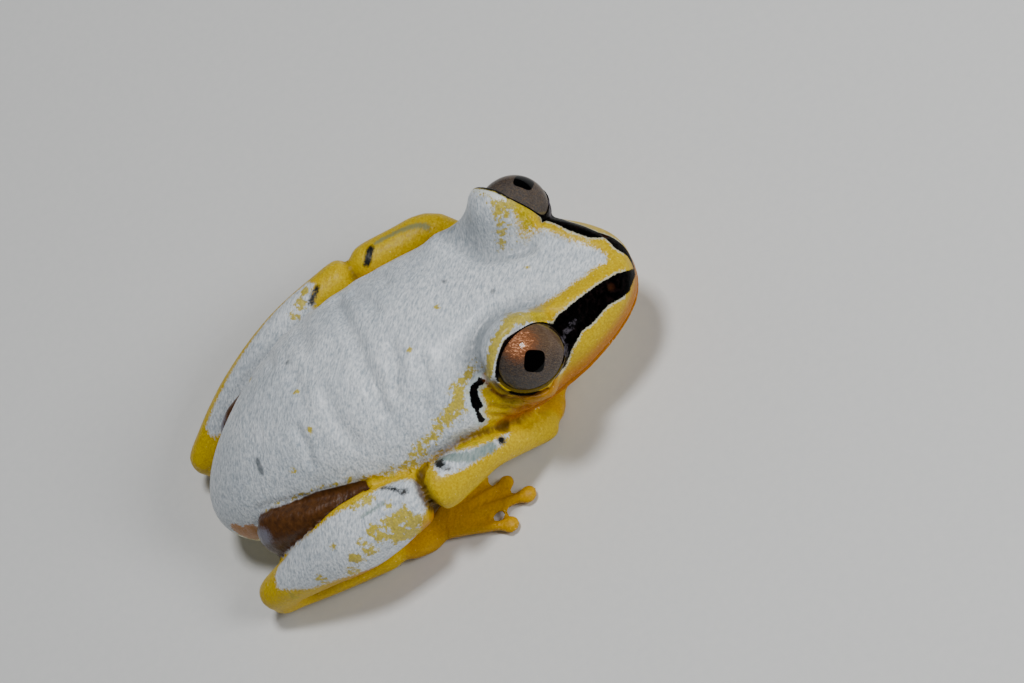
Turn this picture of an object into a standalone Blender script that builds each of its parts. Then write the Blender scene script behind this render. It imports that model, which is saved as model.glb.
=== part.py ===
"""A blue-back reed frog at rest, life size: a still museum model in named solids.

The frog crouches on the floor with its limbs folded against its flanks and its
head turned a little to its right. It is modelled in millimetres with +X to the
frog's left, -Y forward and +Z up, and changed to metres at the end.
"""

import math

import bmesh
import bpy
from mathutils import Matrix, Vector
from mathutils.bvhtree import BVHTree

# Driving dimensions, in millimetres.
GAP = 0.3
BODY_LENGTH = 33.5
SNOUT = -17.3
HEAD_TURN = math.radians(16)
NECK_START = -3.0
NECK_END = -8.2
NECK_CUT = -6.2

EYE_RADIUS = 2.4
EYE_CENTRE = Vector((5.6, -10.45, 8.6))
EYE_AXIS = Vector((0.64, -0.5, 0.58)).normalized()
LID_THICKNESS = 0.34
LID_REACH = 1.1
BROW_REACH = Vector((-0.45, 0.5, -0.1))
BROW_RADII = (2.95, 3.0, 2.95)
NOSTRIL = Vector((1.75, -16.0, 7.4))
NOSTRIL_RADIUS = 0.24
MOUTH_FRONT = 5.3
MOUTH_CORNER = Vector((0.0, -7.4, 4.5))
MOUTH_WIDTH = 0.28
LIP_RADIUS = 0.42
LIP_SPREAD = 0.36

# The trunk's stations from rump to snout: place along Y as a share of the body's
# length from the snout, half width, then the heights of back, widest line and belly.
TRUNK = (
    (1.000, 0.3, 4.1, 3.8, 3.5),
    (0.990, 1.5, 5.2, 3.8, 2.5),
    (0.960, 2.7, 6.5, 3.8, 1.5),
    (0.910, 3.9, 8.0, 3.9, 0.5),
    (0.820, 5.3, 9.7, 4.3, -0.3),
    (0.700, 6.8, 10.9, 4.7, -0.5),
    (0.570, 7.8, 11.1, 4.8, -0.5),
    (0.440, 7.9, 10.8, 4.8, -0.4),
    (0.350, 7.4, 10.2, 4.9, 0.6),
    (0.275, 6.9, 9.8, 5.2, 1.8),
    (0.190, 6.2, 9.4, 5.5, 2.6),
    (0.110, 5.0, 8.7, 5.9, 3.3),
    (0.045, 3.4, 7.95, 6.3, 4.2),
    (0.012, 2.0, 7.4, 6.4, 5.0),
    (0.000, 0.7, 6.9, 6.4, 5.8),
)
TRUNK_RINGS = 64
# The body leans a little to its left: how far its left flank swells out, and where.
LEAN = 0.6
LEAN_MIDDLE = 7.5
LEAN_SPREAD = 5.0
TRUNK_SIDES = 48

# Joints of each limb, as the photo's pose has them.
JOINTS = {
    "left": {
        "shoulder": (5.8, -4.2, 3.9), "elbow": (10.1, -0.5, 5.1), "forearm": (10.2, -5.4, 4.15),
        "wrist": (8.3, -7.4, 1.5), "fingers": (4.8, -9.4, 0.7),
        "hip": (4.4, 11.6, 4.2), "knee": (10.05, 1.2, 5.4), "heel": (6.1, 15.7, 2.4),
        "ankle": (8.9, 7.2, 1.5), "toes": (8.8, 1.5, 0.7),
    },
    "right": {
        "shoulder": (-5.8, -4.2, 3.9), "elbow": (-9.3, 0.75, 5.4), "forearm": (-8.05, -3.0, 4.5),
        "wrist": (-6.7, -6.1, 1.5), "fingers": (-2.0, -7.7, 0.7),
        "hip": (-4.4, 11.6, 4.6), "knee": (-8.8, 2.4, 5.6), "heel": (-7.0, 14.6, 2.5),
        "ankle": (-8.4, 6.9, 1.5), "toes": (-8.2, 1.0, 0.7),
    },
}
SIGN = {"left": 1, "right": -1}
THIGH_SAG = {"left": -0.9, "right": -0.4}
CALF = {"left": (1.55, 1.85, 1.75, 1.3), "right": (1.8, 2.3, 1.8, 1.25)}
# How far each shank hangs out and down over the foot, at the knee.
KNEE_HANG = {"left": (0, 0, 0), "right": (-0.3, 0.25, -0.2)}

# Fingers and toes, the inner one first: spread in degrees from the middle of the hand or
# foot, positive on its inner side, then length, radius and disc radius.
FINGERS = ((40, 2.3, 0.40, 0.56), (14, 3.0, 0.41, 0.64),
           (-12, 3.9, 0.43, 0.74), (-38, 3.2, 0.42, 0.72))
TOES = ((32, 2.8, 0.38, 0.50), (16, 4.0, 0.40, 0.58), (1, 5.2, 0.42, 0.64),
        (-13, 6.3, 0.44, 0.72), (-29, 5.0, 0.42, 0.68))
WEB_SHARE = 0.42

# Triangles that each node keeps.
TRIANGLES = {"head": 3100, "torso": 2000, "eye": 440, "upper_arm": 240, "forearm": 360,
             "hand": 760, "thigh": 340, "shank": 440, "tarsus": 300, "foot": 980}

# What each limb piece is cut clear of.
NEIGHBOURS = {
    "shank": ("trunk", "forearm"),
    "thigh": ("trunk", "shank"),
    "forearm": ("trunk",),
    "upper_arm": ("head", "forearm", "shank"),
    "tarsus": ("trunk", "shank", "thigh"),
    "foot": ("trunk", "tarsus", "shank", "thigh", "forearm"),
    "hand": ("trunk", "forearm", "foot"),
}

COLOURS = {"pearl_back": ("#C9D2DC", 0.42), "yellow_skin": ("#E8B71C", 0.45),
           "eye_gloss": ("#5A4A42", 0.06)}


def clear_scene():
    """Removes every object, so that the script can be run again."""
    for old in list(bpy.data.objects):
        bpy.data.objects.remove(old)


def new_object(name, bm):
    """A mesh object from a bmesh, with its faces pointing out."""
    bmesh.ops.recalc_face_normals(bm, faces=bm.faces)
    mesh = bpy.data.meshes.new(name)
    bm.to_mesh(mesh)
    bm.free()
    obj = bpy.data.objects.new(name, mesh)
    bpy.context.scene.collection.objects.link(obj)
    return obj


def blend(values, t):
    """Catmull-Rom value at t from 0 to 1 through evenly spaced tuples."""
    last = len(values) - 1
    at = min(max(t, 0), 1) * last
    i = min(int(at), last - 1)
    u = at - i
    picked = [values[min(max(k, 0), last)] for k in range(i - 1, i + 3)]
    result = []
    for a, b, c, d in zip(*picked):
        curve = 2 * b + (c - a) * u
        curve += (2 * a - 5 * b + 4 * c - d) * u * u
        curve += (3 * b - a - 3 * c + d) * u * u * u
        result.append(curve / 2)
    return result


def loft(name, rings):
    """A closed mesh through rings of points, each end closed by one face."""
    bm = bmesh.new()
    loops = [[bm.verts.new(p) for p in ring] for ring in rings]
    count = len(loops[0])
    for near, far in zip(loops, loops[1:]):
        for k in range(count):
            nxt = (k + 1) % count
            bm.faces.new((near[k], near[nxt], far[nxt], far[k]))
    bm.faces.new(loops[0][::-1])
    bm.faces.new(loops[-1])
    return new_object(name, bm)


def limb(name, points, radii, flat=1.0, sides=20, rings=24):
    """A tube along a smooth path, with a radius at each point and round ends.

    flat below 1 makes it that much thinner than wide, measured up and down.
    """
    path = [Vector(blend(points, k / rings)) for k in range(rings + 1)]
    width = [blend([(r,) for r in radii], k / rings)[0] for k in range(rings + 1)]
    rings_made = []
    for k, centre in enumerate(path):
        along = (path[min(k + 1, rings)] - path[max(k - 1, 0)]).normalized()
        side = along.cross(Vector((0, 0, 1))).normalized()
        up = side.cross(along).normalized()
        pushes = (0.0,)
        if k == 0:
            pushes = (-0.97, -0.8, -0.5, 0.0)
        if k == rings:
            pushes = (0.0, 0.5, 0.8, 0.97)
        for push in pushes:
            out = width[k] * math.sqrt(1 - push * push)
            ring = []
            for n in range(sides):
                angle = 2 * math.pi * n / sides
                ring.append(centre + along * width[k] * push + side * out * math.cos(angle)
                            + up * out * flat * math.sin(angle))
            rings_made.append(ring)
    return loft(name, rings_made)


def ball(name, centre, radii, turn=None, detail=24):
    """An ellipsoid, turned by a rotation matrix if one is given."""
    bm = bmesh.new()
    bmesh.ops.create_uvsphere(bm, u_segments=detail, v_segments=detail // 2, radius=1)
    place = Matrix.Translation(centre) @ (turn.to_4x4() if turn else Matrix())
    bm.transform(place @ Matrix.Diagonal((*radii, 1)))
    return new_object(name, bm)


def box(name, low, high):
    """An axis-aligned box between two corners."""
    bm = bmesh.new()
    bmesh.ops.create_cube(bm, size=1)
    size = Vector(high) - Vector(low)
    middle = (Vector(high) + Vector(low)) / 2
    bm.transform(Matrix.Translation(middle) @ Matrix.Diagonal((*size, 1)))
    return new_object(name, bm)


def slab(name, point, axis, radius, depth):
    """A cylinder that starts at the point and reaches along the axis."""
    bm = bmesh.new()
    bmesh.ops.create_cone(bm, cap_ends=True, segments=32, radius1=radius, radius2=radius,
                          depth=depth)
    turn = Vector((0, 0, 1)).rotation_difference(Vector(axis)).to_matrix().to_4x4()
    bm.transform(Matrix.Translation(point) @ turn @ Matrix.Translation((0, 0, depth / 2)))
    return new_object(name, bm)


def apply_modifiers(obj):
    """Turns the object's evaluated mesh into its own mesh."""
    graph = bpy.context.evaluated_depsgraph_get()
    made = bpy.data.meshes.new_from_object(obj.evaluated_get(graph))
    obj.modifiers.clear()
    old = obj.data
    obj.data = made
    bpy.data.meshes.remove(old)
    return obj


def joined(name, pieces):
    """One object that holds the meshes of all the pieces, which are removed."""
    bm = bmesh.new()
    for piece in pieces:
        bm.from_mesh(piece.data)
        bpy.data.objects.remove(piece)
    return new_object(name, bm)


def fused(name, pieces, voxel, rounds):
    """The pieces as one closed skin, with soft blends where they meet."""
    obj = joined(name, pieces)
    remesh = obj.modifiers.new("Fuse", "REMESH")
    remesh.mode = "VOXEL"
    remesh.voxel_size = voxel
    smooth = obj.modifiers.new("Soften", "SMOOTH")
    smooth.factor = 0.5
    smooth.iterations = rounds
    return apply_modifiers(obj)


def thinned(obj, triangles):
    """Fewer triangles, kept where the form bends."""
    obj.data.calc_loop_triangles()
    have = len(obj.data.loop_triangles)
    if have > triangles:
        thin = obj.modifiers.new("Thin", "DECIMATE")
        thin.ratio = triangles / have
        thin.use_collapse_triangulate = True
        apply_modifiers(obj)
    return obj


def copy_of(obj, grow=0.0):
    """A copy of the object, grown along its normals."""
    twin = bpy.data.objects.new(obj.name + "_copy", obj.data.copy())
    bpy.context.scene.collection.objects.link(twin)
    if grow:
        swell = twin.modifiers.new("Grow", "DISPLACE")
        swell.strength = grow
        swell.mid_level = 0
        apply_modifiers(twin)
    return twin


def boolean(obj, others, operation):
    """One Boolean against all the other objects, which are then removed."""
    group = bpy.data.collections.new("operands")
    bpy.context.scene.collection.children.link(group)
    for other in others:
        group.objects.link(other)
    cut = obj.modifiers.new("Boolean", "BOOLEAN")
    cut.operation = operation
    cut.operand_type = "COLLECTION"
    cut.collection = group
    apply_modifiers(obj)
    for other in list(group.objects):
        bpy.data.objects.remove(other)
    bpy.data.collections.remove(group)
    return obj


def largest_body(obj):
    """Keeps only the object's largest closed surface."""
    bm = bmesh.new()
    bm.from_mesh(obj.data)
    left = set(bm.faces)
    bodies = []
    while left:
        start = left.pop()
        body, edge = [start], [start]
        while edge:
            for side in edge.pop().edges:
                for face in side.link_faces:
                    if face in left:
                        left.discard(face)
                        body.append(face)
                        edge.append(face)
        bodies.append(body)
    bodies.sort(key=lambda found: sum(face.calc_area() for face in found))
    loose = [face for body in bodies[:-1] for face in body]
    bmesh.ops.delete(bm, geom=loose, context="FACES")
    bm.to_mesh(obj.data)
    bm.free()
    return obj


def turned(point):
    """Where a point of the straight frog lies once its head is turned."""
    share = (point[1] - NECK_START) / (NECK_END - NECK_START)
    share = min(max(share, 0), 1)
    angle = -HEAD_TURN * share * share * (3 - 2 * share)
    pivot = Vector((0, (NECK_START + NECK_END) / 2, 0))
    return Matrix.Rotation(angle, 3, "Z") @ (Vector(point) - pivot) + pivot


def turn_head(obj):
    """Turns the part of the object that lies ahead of the neck."""
    for vertex in obj.data.vertices:
        vertex.co = turned(vertex.co)
    return obj


def set_on_floor(obj):
    """Flattens what reaches below the floor, which gives the resting flats."""
    for vertex in obj.data.vertices:
        vertex.co.z = max(vertex.co.z, 0)
    return obj


def mirrored(vector, sign):
    """The vector on the frog's left for 1, on its right for -1."""
    return Vector((sign * vector[0], vector[1], vector[2]))


def trunk_ring(station):
    """Points round the trunk at one station: a flat back over rounded flanks."""
    share, half, back, widest, belly = station
    ring = []
    for k in range(TRUNK_SIDES):
        angle = 2 * math.pi * k / TRUNK_SIDES
        across, up = math.cos(angle), math.sin(angle)
        rise = back - widest if up > 0 else widest - belly
        y = SNOUT + share * BODY_LENGTH
        lean = LEAN * math.exp(-((y - LEAN_MIDDLE) / LEAN_SPREAD) ** 2) * max(across, 0)
        ring.append((half * math.copysign(abs(across) ** 0.9, across) + lean,
                     y,
                     widest + rise * math.copysign(abs(up) ** 0.9, up)))
    return ring


def search_tree(obj):
    """The object's surface, ready to be met by straight lines."""
    bm = bmesh.new()
    bm.from_mesh(obj.data)
    tree = BVHTree.FromBMesh(bm)
    bm.free()
    return tree


def surface_point(tree, origin, direction):
    """The outermost point of the form on a line from inside it."""
    direction = Vector(direction).normalized()
    start = Vector(origin) + direction * 30
    return tree.ray_cast(start, -direction)[0]


def outward(point):
    """The level direction from the middle of the head out to the point."""
    flat = Vector((point.x, point.y - MOUTH_CORNER.y + 1.5, 0))
    return flat.normalized()


def mouth_line(tree):
    """Points along the mouth from its right corner round the snout to its left."""
    points = []
    for k in range(-12, 13):
        angle = math.radians(97) * k / 12
        share = abs(k) / 12
        height = MOUTH_FRONT + (MOUTH_CORNER.z - MOUTH_FRONT) * share ** 1.5
        origin = (0, MOUTH_CORNER.y - 1.5, height)
        points.append(surface_point(tree, origin, (math.sin(angle), -math.cos(angle), 0)))
    return points


def build_trunk():
    """Head and body as one straight form with lips, brows, canthi and lids."""
    stations = [blend(TRUNK, k / TRUNK_RINGS) for k in range(TRUNK_RINGS + 1)]
    pieces = [loft("trunk", [trunk_ring(s) for s in stations])]
    line = mouth_line(search_tree(pieces[0]))
    for lift in (LIP_SPREAD, -LIP_SPREAD):
        inward = 0.30 if lift > 0 else 0.36
        lip = [point + Vector((0, 0, lift)) - outward(point) * inward for point in line]
        taper = [LIP_RADIUS * (0.55 if k in (0, len(lip) - 1) else 1) for k in range(len(lip))]
        pieces.append(limb("lip", lip, taper, sides=12, rings=60))
    for sign in (1, -1):
        eye = mirrored(EYE_CENTRE, sign)
        axis = mirrored(EYE_AXIS, sign)
        brow = ball("brow", eye + mirrored(BROW_REACH, sign), BROW_RADII)
        open_front = slab("front", eye + axis * LID_REACH, axis, 5, 5)
        pieces.append(boolean(brow, [open_front], "DIFFERENCE"))
        lids = ball("lids", eye, [EYE_RADIUS + GAP + LID_THICKNESS] * 3, detail=32)
        open_front = slab("front", eye + axis * LID_REACH, axis, 5, 5)
        pieces.append(boolean(lids, [open_front], "DIFFERENCE"))
        canthus = [(sign * 1.0, -16.2, 7.1), (sign * 2.1, -14.7, 7.75), (sign * 3.4, -12.4, 8.3)]
        pieces.append(limb("canthus", canthus, [0.8, 0.95, 1.15]))
    return fused("trunk", pieces, 0.2, 6)


def carve_head(head, tree):
    """Cuts the mouth, nostrils and eye sockets into the straight head."""
    cutters = []
    line = mouth_line(tree)
    cutters.append(limb("mouth", line, [MOUTH_WIDTH * 0.55] * len(line), sides=6, rings=44))
    for sign in (1, -1):
        nostril = surface_point(tree, (0, NOSTRIL.y + 1.5, 6.6), mirrored(NOSTRIL, sign)
                                - Vector((0, NOSTRIL.y + 1.5, 6.6)))
        cutters.append(ball("nostril", nostril, (NOSTRIL_RADIUS, NOSTRIL_RADIUS * 1.3,
                                                 NOSTRIL_RADIUS), detail=12))
        cutters.append(ball("socket", mirrored(EYE_CENTRE, sign), [EYE_RADIUS + GAP] * 3,
                            detail=28))
    return largest_body(boolean(head, cutters, "DIFFERENCE"))


def part_of(trunk, name, rear, front):
    """The part of the trunk between two places along Y, as its own object."""
    piece = copy_of(trunk)
    piece.name = name
    return boolean(piece, [box("between", (-20, front, -5), (20, rear, 20))], "INTERSECT")


def build_head_and_torso(trunk):
    """The head and the torso, parted by a thin cut at the neck."""
    tree = search_tree(trunk)
    head = thinned(part_of(trunk, "head", NECK_CUT - GAP / 2, -30), TRIANGLES["head"])
    carve_head(head, tree)
    torso = thinned(part_of(trunk, "torso", 30, NECK_CUT + GAP / 2), TRIANGLES["torso"])
    return turn_head(head), set_on_floor(turn_head(torso))


def build_eye(side):
    """One eyeball with a slightly raised cornea."""
    sign = SIGN[side]
    eye = ball("eye_" + side, mirrored(EYE_CENTRE, sign), [EYE_RADIUS] * 3, detail=20)
    return turn_head(eye)


def build_arm(side):
    """Upper arm, forearm and hand of one side, overlapping at their joints."""
    place = {key: Vector(value) for key, value in JOINTS[side].items()}
    sign = SIGN[side]
    shoulder, elbow, wrist = place["shoulder"], place["elbow"], place["wrist"]
    inner = elbow + Vector((-sign * 1.2, 0, -0.5))
    bend = (shoulder + inner) / 2 + Vector((sign * 0.5, 0.2, -0.2))
    upper = limb("upper_arm_" + side, [shoulder, bend, inner], [1.3, 1.3, 1.25])
    middle = place["forearm"]
    fore = limb("forearm_" + side, [elbow, elbow.lerp(middle, 0.5) + Vector((0, 0, 0.15)),
                                    middle, wrist], [1.6, 1.55, 1.35, 0.95])
    hand = build_digits("hand_" + side, wrist, place["fingers"], FINGERS, sign, 1.15, 0.0)
    return upper, fore, hand


def build_leg(side):
    """Thigh, shank, tarsus and foot of one side, overlapping at their joints."""
    place = {key: Vector(value) for key, value in JOINTS[side].items()}
    sign = SIGN[side]
    hip, knee, heel, ankle = place["hip"], place["knee"], place["heel"], place["ankle"]
    thick = hip.lerp(knee, 0.4) + Vector((sign * 0.3, 0, THIGH_SAG[side]))
    thigh = limb("thigh_" + side, [hip, thick, knee], [2.1, 2.2, 1.3], flat=1.1)
    hang = Vector(KNEE_HANG[side])
    calf = knee.lerp(heel, 0.36) + Vector((sign * 0.4, 0, 0.65)) + hang * 0.7
    lower = knee.lerp(heel, 0.7) + Vector((sign * 0.35, 0, 0.6)) + hang * 0.2
    shank = limb("shank_" + side, [knee + hang, calf, lower, heel], CALF[side])
    middle = heel.lerp(ankle, 0.5) + Vector((sign * 0.2, 0, -0.3))
    tarsus = limb("tarsus_" + side, [heel + Vector((0, 0, -0.6)), middle, ankle],
                  [1.25, 1.1, 1.2])
    foot = build_digits("foot_" + side, ankle, place["toes"], TOES, sign, 1.25, WEB_SHARE)
    return thigh, shank, tarsus, foot


def build_digits(name, root, reach, digits, sign, palm, web):
    """A hand or a foot: palm, spread digits with round discs, and any webs."""
    ahead = Vector(reach) - Vector(root)
    ahead.z = 0
    span = ahead.length
    ahead.normalize()
    base = Vector(root) + ahead * span * 0.45
    base.z = 0.55
    pieces = [limb("palm", [root, Vector(root).lerp(base, 0.6), base], [0.9, palm, palm],
                   flat=0.7)]
    tips = []
    for spread, length, radius, disc in digits:
        turn = Matrix.Rotation(math.radians(-spread * sign), 3, "Z")
        out = turn @ ahead
        start = base + out * palm * 0.55
        tip = start + out * length
        tip.z = 0.42
        knuckle = start.lerp(tip, 0.5)
        knuckle.z = 0.62
        pieces.append(limb("digit", [start, knuckle, tip], [radius * 1.15, radius, radius * 0.8],
                           sides=12, rings=10))
        pieces.append(ball("disc", tip + out * disc * 0.5, (disc, disc, 0.42), detail=16))
        tips.append((start, tip, out))
    if web:
        for (start_a, tip_a, out_a), (start_b, tip_b, out_b) in zip(tips, tips[1:]):
            pieces.append(build_web(base, start_a.lerp(tip_a, web), start_b.lerp(tip_b, web)))
    return fused(name, pieces, 0.17, 2)


def build_web(root, edge_a, edge_b):
    """A thin web between two toes, with a hollow free edge."""
    hollow = (edge_a + edge_b) / 2
    hollow = hollow.lerp(root, 0.16)
    outline = [root, edge_a, hollow, edge_b]
    bm = bmesh.new()
    low = [bm.verts.new((p.x, p.y, 0.05)) for p in outline]
    high = [bm.verts.new((p.x, p.y, 0.6)) for p in outline]
    bm.faces.new(low)
    bm.faces.new(high)
    for k in range(4):
        nxt = (k + 1) % 4
        bm.faces.new((low[k], low[nxt], high[nxt], high[k]))
    return new_object("web", bm)


def fit_beside(obj, neighbours):
    """Cuts the object clear of its neighbours' whole forms, grown by the gap."""
    boolean(obj, [copy_of(form) for form in neighbours], "DIFFERENCE")
    return largest_body(obj)


def material(name):
    """A Principled material in one of the frog's colours."""
    made = bpy.data.materials.get(name)
    if made is None:
        colour, rough = COLOURS[name]
        made = bpy.data.materials.new(name)
        made.use_nodes = True
        shader = made.node_tree.nodes["Principled BSDF"]
        rgb = [int(colour[k:k + 2], 16) / 255 for k in (1, 3, 5)]
        shader.inputs["Base Color"].default_value = (*[value ** 2.2 for value in rgb], 1)
        shader.inputs["Roughness"].default_value = rough
    return made


def build_frog():
    """Every node, parted from its neighbours, in millimetres."""
    trunk = build_trunk()
    head, torso = build_head_and_torso(trunk)
    nodes = {"head": head, "torso": torso}
    front = part_of(trunk, "front", NECK_CUT - GAP / 2, -30)
    grown = {"trunk": copy_of(turn_head(thinned(trunk, TRIANGLES["torso"] * 2)), GAP),
             "head": copy_of(turn_head(thinned(front, TRIANGLES["torso"])), GAP)}
    bpy.data.objects.remove(trunk)
    bpy.data.objects.remove(front)
    for side in ("left", "right"):
        nodes["eye_" + side] = build_eye(side)
        for piece in build_arm(side) + build_leg(side):
            kind = piece.name.rsplit("_", 1)[0]
            nodes[piece.name] = set_on_floor(thinned(piece, TRIANGLES[kind]))
            grown[piece.name] = copy_of(piece, GAP)
    for side in ("left", "right"):
        for kind, near in NEIGHBOURS.items():
            fit_beside(nodes[kind + "_" + side],
                       [grown.get(form) or grown[form + "_" + side] for form in near])
    fit_beside(torso, [grown["upper_arm_left"], grown["upper_arm_right"]])
    for form in grown.values():
        bpy.data.objects.remove(form)
    return nodes


def to_metres(nodes):
    """Centres the frog on the origin, in metres, and gives each node its colour."""
    points = [v.co for obj in nodes.values() for v in obj.data.vertices]
    middle = [(min(p[k] for p in points) + max(p[k] for p in points)) / 2 for k in (0, 1)]
    for name, obj in nodes.items():
        obj.data.transform(Matrix.Scale(0.001, 4) @ Matrix.Translation((-middle[0], -middle[1], 0)))
        obj.name = name
        look = "pearl_back" if name in ("torso", "head") else "yellow_skin"
        obj.data.materials.clear()
        obj.data.materials.append(material("eye_gloss" if "eye" in name else look))
    return middle


clear_scene()
frog = build_frog()
centre = to_metres(frog)
total = 0
for name, obj in frog.items():
    obj.data.calc_loop_triangles()
    total += len(obj.data.loop_triangles)
    print(name, len(obj.data.loop_triangles))
print("triangles", total, "centre", [round(value, 3) for value in centre])
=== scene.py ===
# %% [markdown]
# # A blue-back reed frog at rest
# The real animal is about as long as a thumb joint. It rests by day on leaves, with its
# limbs folded tight against its flanks, and that is the pose here, with the head raised and
# turned a little to its right. The model is a still museum piece: one unbroken skin over the
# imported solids, and two wet eyes.
#
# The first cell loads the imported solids. They stay where they are, and the skin is grown
# over them, so the two agree from every side.

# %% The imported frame
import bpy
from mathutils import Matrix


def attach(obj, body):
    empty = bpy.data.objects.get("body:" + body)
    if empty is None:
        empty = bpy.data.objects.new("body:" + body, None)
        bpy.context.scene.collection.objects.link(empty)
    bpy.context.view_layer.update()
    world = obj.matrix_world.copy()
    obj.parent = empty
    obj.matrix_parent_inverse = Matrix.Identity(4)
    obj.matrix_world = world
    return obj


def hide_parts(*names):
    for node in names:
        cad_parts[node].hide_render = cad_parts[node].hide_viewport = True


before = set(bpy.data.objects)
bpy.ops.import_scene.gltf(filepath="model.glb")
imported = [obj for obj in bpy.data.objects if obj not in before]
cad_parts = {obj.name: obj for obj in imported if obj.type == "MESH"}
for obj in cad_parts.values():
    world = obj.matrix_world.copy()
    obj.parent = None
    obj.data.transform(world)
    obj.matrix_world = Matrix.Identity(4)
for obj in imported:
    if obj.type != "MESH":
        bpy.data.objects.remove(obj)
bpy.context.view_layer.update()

import math
from contextlib import contextmanager

import bmesh
import bpy
import numpy as np
from mathutils import Matrix, Vector
from mathutils.bvhtree import BVHTree

print("solids:", ", ".join(sorted(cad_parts)))

# %% [markdown]
# ## Working in millimetres
# A frog of 34 mm is awkward to think of in metres, so the skin is worked in millimetres
# and made metres at the end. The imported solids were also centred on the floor, and CENTRE
# says by how much, so that places measured on the animal stay simple.
#
# The head is turned to the animal's right. Head features are far easier to place on a
# straight, mirrored head, so two helpers turn points back and forth between the two.

# %% From the posed frog to a straight one
CENTRE = np.array((0.337, -0.037, 0.0))
HEAD_TURN = math.radians(16)
NECK_START, NECK_END = -3.0, -8.2
NECK_PIVOT = np.array((0.0, (NECK_START + NECK_END) / 2, 0.0))


def about_z(points, angles):
    """The points turned about the upright line through the neck, each by its own angle."""
    x, y, z = (points - NECK_PIVOT).T
    cos, sin = np.cos(angles), np.sin(angles)
    return np.stack((cos * x - sin * y, sin * x + cos * y, z), axis=1) + NECK_PIVOT


def neck_angle(y):
    """How far the head's turn has gone at a place along the straight frog."""
    share = np.clip((y - NECK_START) / (NECK_END - NECK_START), 0, 1)
    return -HEAD_TURN * share * share * (3 - 2 * share)


def posed(straight):
    """Points of the straight frog, moved to the pose."""
    return about_z(straight, neck_angle(straight[:, 1]))


def straightened(points):
    """Points of the posed frog, moved back to the straight one."""
    straight = points
    for _ in range(12):
        straight = about_z(points, -neck_angle(straight[:, 1]))
    return straight


probe = np.array(((3.0, -14.0, 7.0),))
print("there and back, mm:", np.abs(straightened(posed(probe)) - probe).max())

# %% [markdown]
# ## The camera
# A long lens from 0.3 m flattens perspective, as a macro lens does. Three directions say
# how the animal was seen: towards the right of the frame, towards its top, and back to the
# lens. The frog is seen from above its right shoulder, so its head points right. It sits
# left of the picture's middle and below it, so the lens is turned a little right and up.

# %% The camera
VIEW_RIGHT = np.array((-0.3132, -0.8233, -0.4734))
VIEW_UP = np.array((0.7174, -0.5317, 0.4502))
VIEW_BACK = np.array((-0.6223, -0.1986, 0.7571))
TURNED_RIGHT, TURNED_UP = 0.01454, 0.01592
CAMERA_DISTANCE = 300.0
PIXELS_PER_RADIAN, PICTURE_WIDTH = 4533.0, 1024
SENSOR_WIDTH = 36

back = Vector(VIEW_BACK - TURNED_RIGHT * VIEW_RIGHT - TURNED_UP * VIEW_UP).normalized()
up = Vector(VIEW_UP)
up = (up - up.dot(back) * back).normalized()
right = up.cross(back).normalized()
camera = bpy.data.objects.new("camera", bpy.data.cameras.new("camera"))
bpy.context.scene.collection.objects.link(camera)
camera.matrix_world = (
    Matrix.Translation((VIEW_BACK * CAMERA_DISTANCE - CENTRE) / 1000)
    @ Matrix((right, up, back)).transposed().to_4x4())
camera.data.sensor_width = SENSOR_WIDTH
camera.data.lens = PIXELS_PER_RADIAN * SENSOR_WIDTH / PICTURE_WIDTH
camera.data.clip_start = 0.01
bpy.context.scene.camera = camera
print("lens mm:", round(camera.data.lens, 1), "camera at:", [round(v, 4) for v in camera.location])

# %% [markdown]
# ## The skin's first form
# A frog's skin is one loose bag over body and limbs, with no seam at the joints. The packed
# solids are cut apart by thin gaps, so copies of them are swollen until the gaps close, made
# one surface by a voxel remesh, and shrunk back by the same amount. A remesh suits this
# better than joining by hand, because it finds every fold where a limb lies on the flank.
#
# Each eye socket gets a plug first, a ball cut flat at the lids, so that the skin runs
# under the eyelids and closes round the eyeball.

# %% Copies of the solids, in millimetres
EYE_RADIUS = 2.4
EYE_CENTRE = np.array((5.6, -10.45, 8.6))
EYE_AXIS = np.array((0.64, -0.5, 0.58)) / np.linalg.norm((0.64, -0.5, 0.58))
LID_REACH, LID_THICKNESS = 1.1, 0.34
SWELL = 0.2
VOXEL = 0.2
MERGE_DISTANCE = 0.0005


def only(obj):
    """Selects this object alone."""
    bpy.ops.object.select_all(action="DESELECT")
    obj.select_set(True)
    bpy.context.view_layer.objects.active = obj


@contextmanager
def edit_mode():
    """Edit mode, for the lines of a with block."""
    bpy.ops.object.mode_set(mode="EDIT")
    yield
    bpy.ops.object.mode_set(mode="OBJECT")


flesh = [name for name in sorted(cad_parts) if not name.startswith("eye")]
corners, faces, owner = [], [], []
for index, name in enumerate(flesh):
    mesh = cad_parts[name].data
    start = len(corners)
    corners += [Vector(np.array(v.co) * 1000 + CENTRE) for v in mesh.vertices]
    faces += [[start + k for k in p.vertices] for p in mesh.polygons]
    owner += [index] * len(mesh.polygons)
solid_tree = BVHTree.FromPolygons(corners, faces)
mesh = bpy.data.meshes.new("skin")
mesh.from_pydata(corners, [], faces)
skin = bpy.data.objects.new("skin", mesh)
bpy.context.scene.collection.objects.link(skin)
only(skin)
with edit_mode():
    bpy.ops.mesh.select_all(action="SELECT")
    bpy.ops.mesh.remove_doubles(threshold=MERGE_DISTANCE)
print("copied", len(flesh), "solids,", len(skin.data.vertices), "points")

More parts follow.
